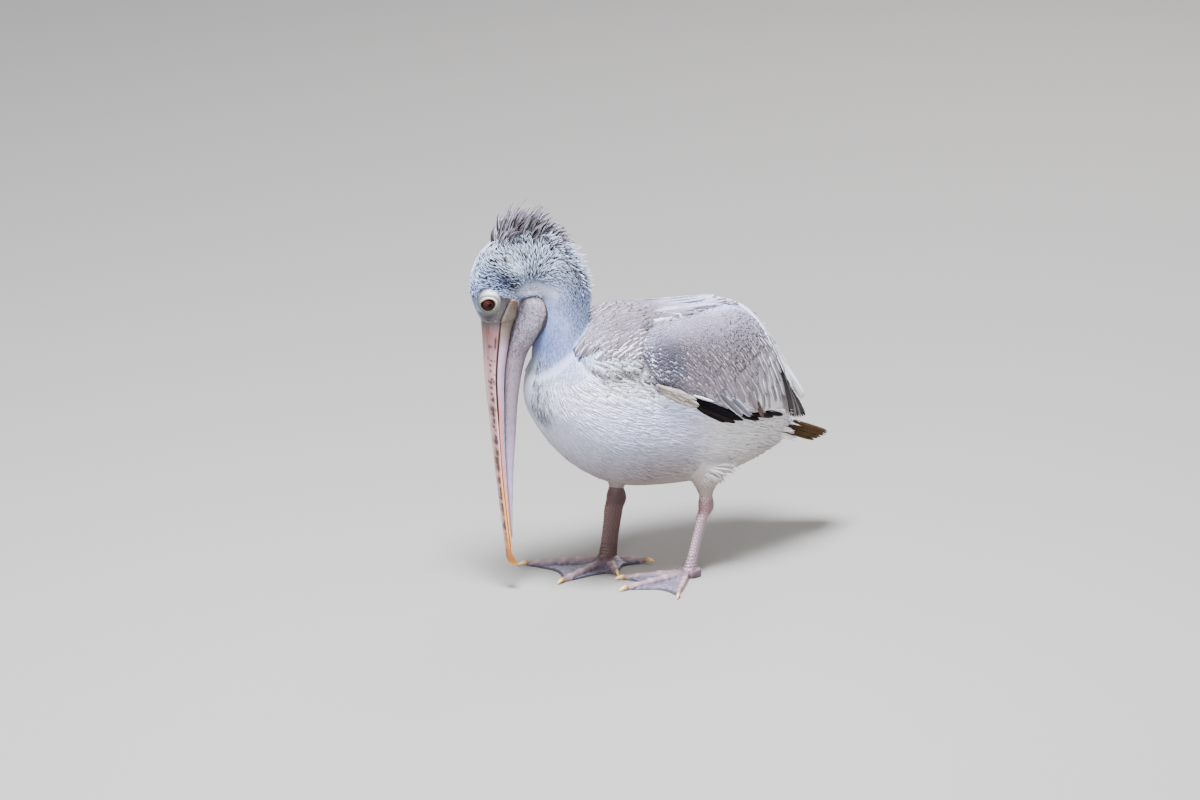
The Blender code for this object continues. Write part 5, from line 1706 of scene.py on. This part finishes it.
def make_foot(name, ankle, toes):
    """A field of heights on rays from the ankle: jointed, scaled toes as ridges on a thin creased web."""
    order = sorted(toes, key=lambda toe: toe[1])
    start, end = order[0][1] - 8, order[-1][1] + 8
    spans = np.concatenate([np.linspace(start, end, 300), np.linspace(end, start + 360, 40)[1:-1]])
    near = np.min([np.abs(spans - turn) for _, turn, _ in toes], axis=0)
    weight = np.cumsum(1 + 5 * bell(near, 0, 6))
    angle = np.radians(np.interp(np.linspace(weight[0], weight[-1], 420), weight, spans))
    wrapped = np.where(angle > np.radians(end), angle - 2 * np.pi, angle)
    reach = np.maximum(web_reach(toes, angle), web_reach(toes, wrapped))
    radius = ANKLE_CAP + (reach[:, None] - ANKLE_CAP) * np.linspace(0, 1, 110)[None, :] ** 0.95
    ridge, toe_share, joint = toe_relief(radius, angle, toes)
    turned = angle[:, None]
    crease = 0.28 * np.sin(turned * 46 + 0.12 * radius) * ease(radius, 20, 50)
    crease = crease + 0.18 * np.sin(radius * 0.9 + 3 * np.sin(turned * 9))
    share = (radius - ANKLE_CAP) / (reach[:, None] - ANKLE_CAP)
    hump = 8.5 * bell(radius, ANKLE_CAP, 13)
    web = WEB_THICKNESS * (1 - 0.45 * ease(share, 0.9, 1.0)) + 0.9 * bell(share, 0.95, 0.03) * (1 - toe_share)
    height = web + crease * (1 - toe_share) + np.maximum(hump, ridge * (1 - ease(share, 0.975, 1.0) * 0.35))
    x = ankle[0] + radius * np.sin(turned)
    y = ankle[1] - radius * np.cos(turned)
    top = np.stack([x, y, np.maximum(height, 0.6)], axis=-1)
    mottle = np.sin(x * 0.31 + 2 * np.sin(y * 0.23)) * np.sin(y * 0.37 + 2 * np.sin(x * 0.19 + 1))
    mottle = mottle + 0.5 * np.sin(x * 0.9 + y * 0.5) * np.sin(y * 1.1 - x * 0.4)
    tint = layered(mix(ink(140, 132, 148), ink(170, 162, 176), ease(mottle, -0.7, 0.9)), (
        ((84, 74, 84), 0.8 * ease(share, 0.93, 0.985) * (1 - toe_share)),
        ((182, 162, 168), toe_share * 0.95),
        ((206, 188, 184), np.clip(joint * 0.8, 0, 1) * toe_share),
        ((150, 126, 132), bell(radius, ANKLE_CAP, 12)),
    ))
    rows, columns = radius.shape
    rim = top[:, -1] * (1, 1, 0)
    middles = [(*ankle[:2], top[:, 0, 2].mean()), (*ankle[:2], 0)]
    points = np.concatenate([top.transpose(1, 0, 2).reshape(-1, 3), rim, middles])
    colours = np.concatenate([tint.transpose(1, 0, 2).reshape(-1, 3), tint[:, -1], [tint[0, 0], tint[0, 0]]])
    c = np.arange(rows)
    n = (c + 1) % rows
    middle, under, last = len(points) - 2, len(points) - 1, columns * rows
    instep = np.stack([0 * c + middle, n, c], -1)
    sole = np.stack([0 * c + under, last + c, last + n], -1)
    faces = [grid_faces(columns + 1, rows, True), instep, sole]
    marks = {"tint": colours}
    piece(f"foot_skin_{name}", points, faces, WEB, [f"foot_{name}"], marks, outwards=True)
    for toe, turn, length in toes:
        make_claw(f"claw_{name}_{toe}", ankle, np.radians(turn), length)


def make_claw(node, ankle, turn, length):
    """A flattened horn that curves down from the toe's tip."""
    share = np.linspace(0, 1, 26)[:, None]
    angle = turns(24)[None, :]
    radius = 3.3 * (1 - 0.90 * share**1.25)
    out = length - 1.5 + (CLAW_LENGTH + 2.0) * np.sin(share * 1.2) / np.sin(1.2)
    height = np.maximum(4.4 + 2.2 * share - 6.2 * share**2, radius + 0.25)
    side = radius * 0.80 * np.cos(angle) * (1 - 0.2 * np.sin(angle))
    z = height + radius * np.sin(angle)
    x = ankle[0] + out * np.sin(turn) + side * np.cos(turn)
    y = ankle[1] - out * np.cos(turn) + side * np.sin(turn)
    tint = mix(ink(190, 160, 116), ink(236, 214, 164), ease(share, 0.0, 0.5) + 0 * angle)
    tint = mix(tint, ink(140, 112, 84), 0.6 * ease(share, 0.75, 1.0) + 0 * angle)
    horn(f"{node}_horn", np.stack(np.broadcast_arrays(x, y, z), axis=-1), tint, HORN, [node])


SHANK = skin_paint("shank skin", 0.5, 1500.0, 0.00025, coat=0.06)
make_upper_bill()
make_lower_bill()
make_nail()
make_pouch()
make_eyes()
for leg_name, leg_rows in LEGS.items():
    make_leg(leg_name, leg_rows)
    make_foot(leg_name, leg_rows["ankle"], leg_rows["toes"])


# ------------------------------------------------------------------ stage
def make_stage():
    """A pale flat floor, a pale world, a large soft light overhead, a fill and a rim."""
    floor_paint = Paint("floor", Roughness=0.9, Base_Color=(0.28, 0.262, 0.236, 1))
    x, y = np.meshgrid((-9.0, 0.0, 9.0), (-9.0, 0.0, 9.0), indexing="ij")
    points = np.stack([x, y, 0 * x], axis=-1)
    mesh = bpy.data.meshes.new("floor")
    mesh.from_pydata(points.reshape(-1, 3).tolist(), [], grid_faces(3, 3).tolist())
    mesh.materials.append(floor_paint.material)
    floor = placed("floor", mesh)
    world = bpy.data.worlds.new("studio")
    world.use_nodes = True
    background = world.node_tree.nodes["Background"]
    background.inputs["Color"].default_value = (0.87, 0.91, 1.0, 1)
    background.inputs["Strength"].default_value = 0.48
    bpy.context.scene.world = world
    for name, place, size, energy, colour in (
        ("overhead", (0.7, -0.8, 3.2), 1.0, 600, (0.84, 0.88, 1.0)),
        ("front fill", (2.5, -2.4, 1.4), 1.4, 80, (0.95, 0.97, 1.0)),
        ("back rim", (-1.6, 2.2, 1.8), 1.5, 60, (1.0, 1.0, 1.0)),
    ):
        lamp = bpy.data.lights.new(name, "AREA")
        lamp.size, lamp.energy, lamp.color = size, energy, colour
        made = placed(name, lamp)
        made.location = place
        made.rotation_euler = (Vector((0, 0, 0.25)) - Vector(place)).to_track_quat("-Z", "Y").to_euler()


def make_camera():
    """A long lens at azimuth 55 and elevation 17 degrees, aimed off the point between the ankles."""
    azimuth, elevation = np.radians((55, 17))
    right = np.array([np.cos(azimuth), np.sin(azimuth), 0])
    level = np.array([np.sin(azimuth), -np.cos(azimuth), 0])
    back = level * np.cos(elevation) + (0, 0, np.sin(elevation))
    up = np.cross(back, right)
    target = right * VIEW_SIDE + up * VIEW_RISE - np.array([*CENTRE, 0]) * MM
    lens = bpy.data.cameras.new("camera")
    lens.sensor_width = 36
    lens.lens = 36 * VIEW_DISTANCE / VIEW_WIDTH
    made = placed("camera", lens)
    made.location = target + back * VIEW_DISTANCE
    made.rotation_euler = Vector(back).to_track_quat("Z", "Y").to_euler()
    bpy.context.scene.camera = made


VIEW_SIDE = -0.06305  # metres from the floor point to the picture's middle, sideways and up
VIEW_RISE = 0.2197
VIEW_DISTANCE = 20.0
VIEW_WIDTH = 1.56
make_stage()
make_camera()
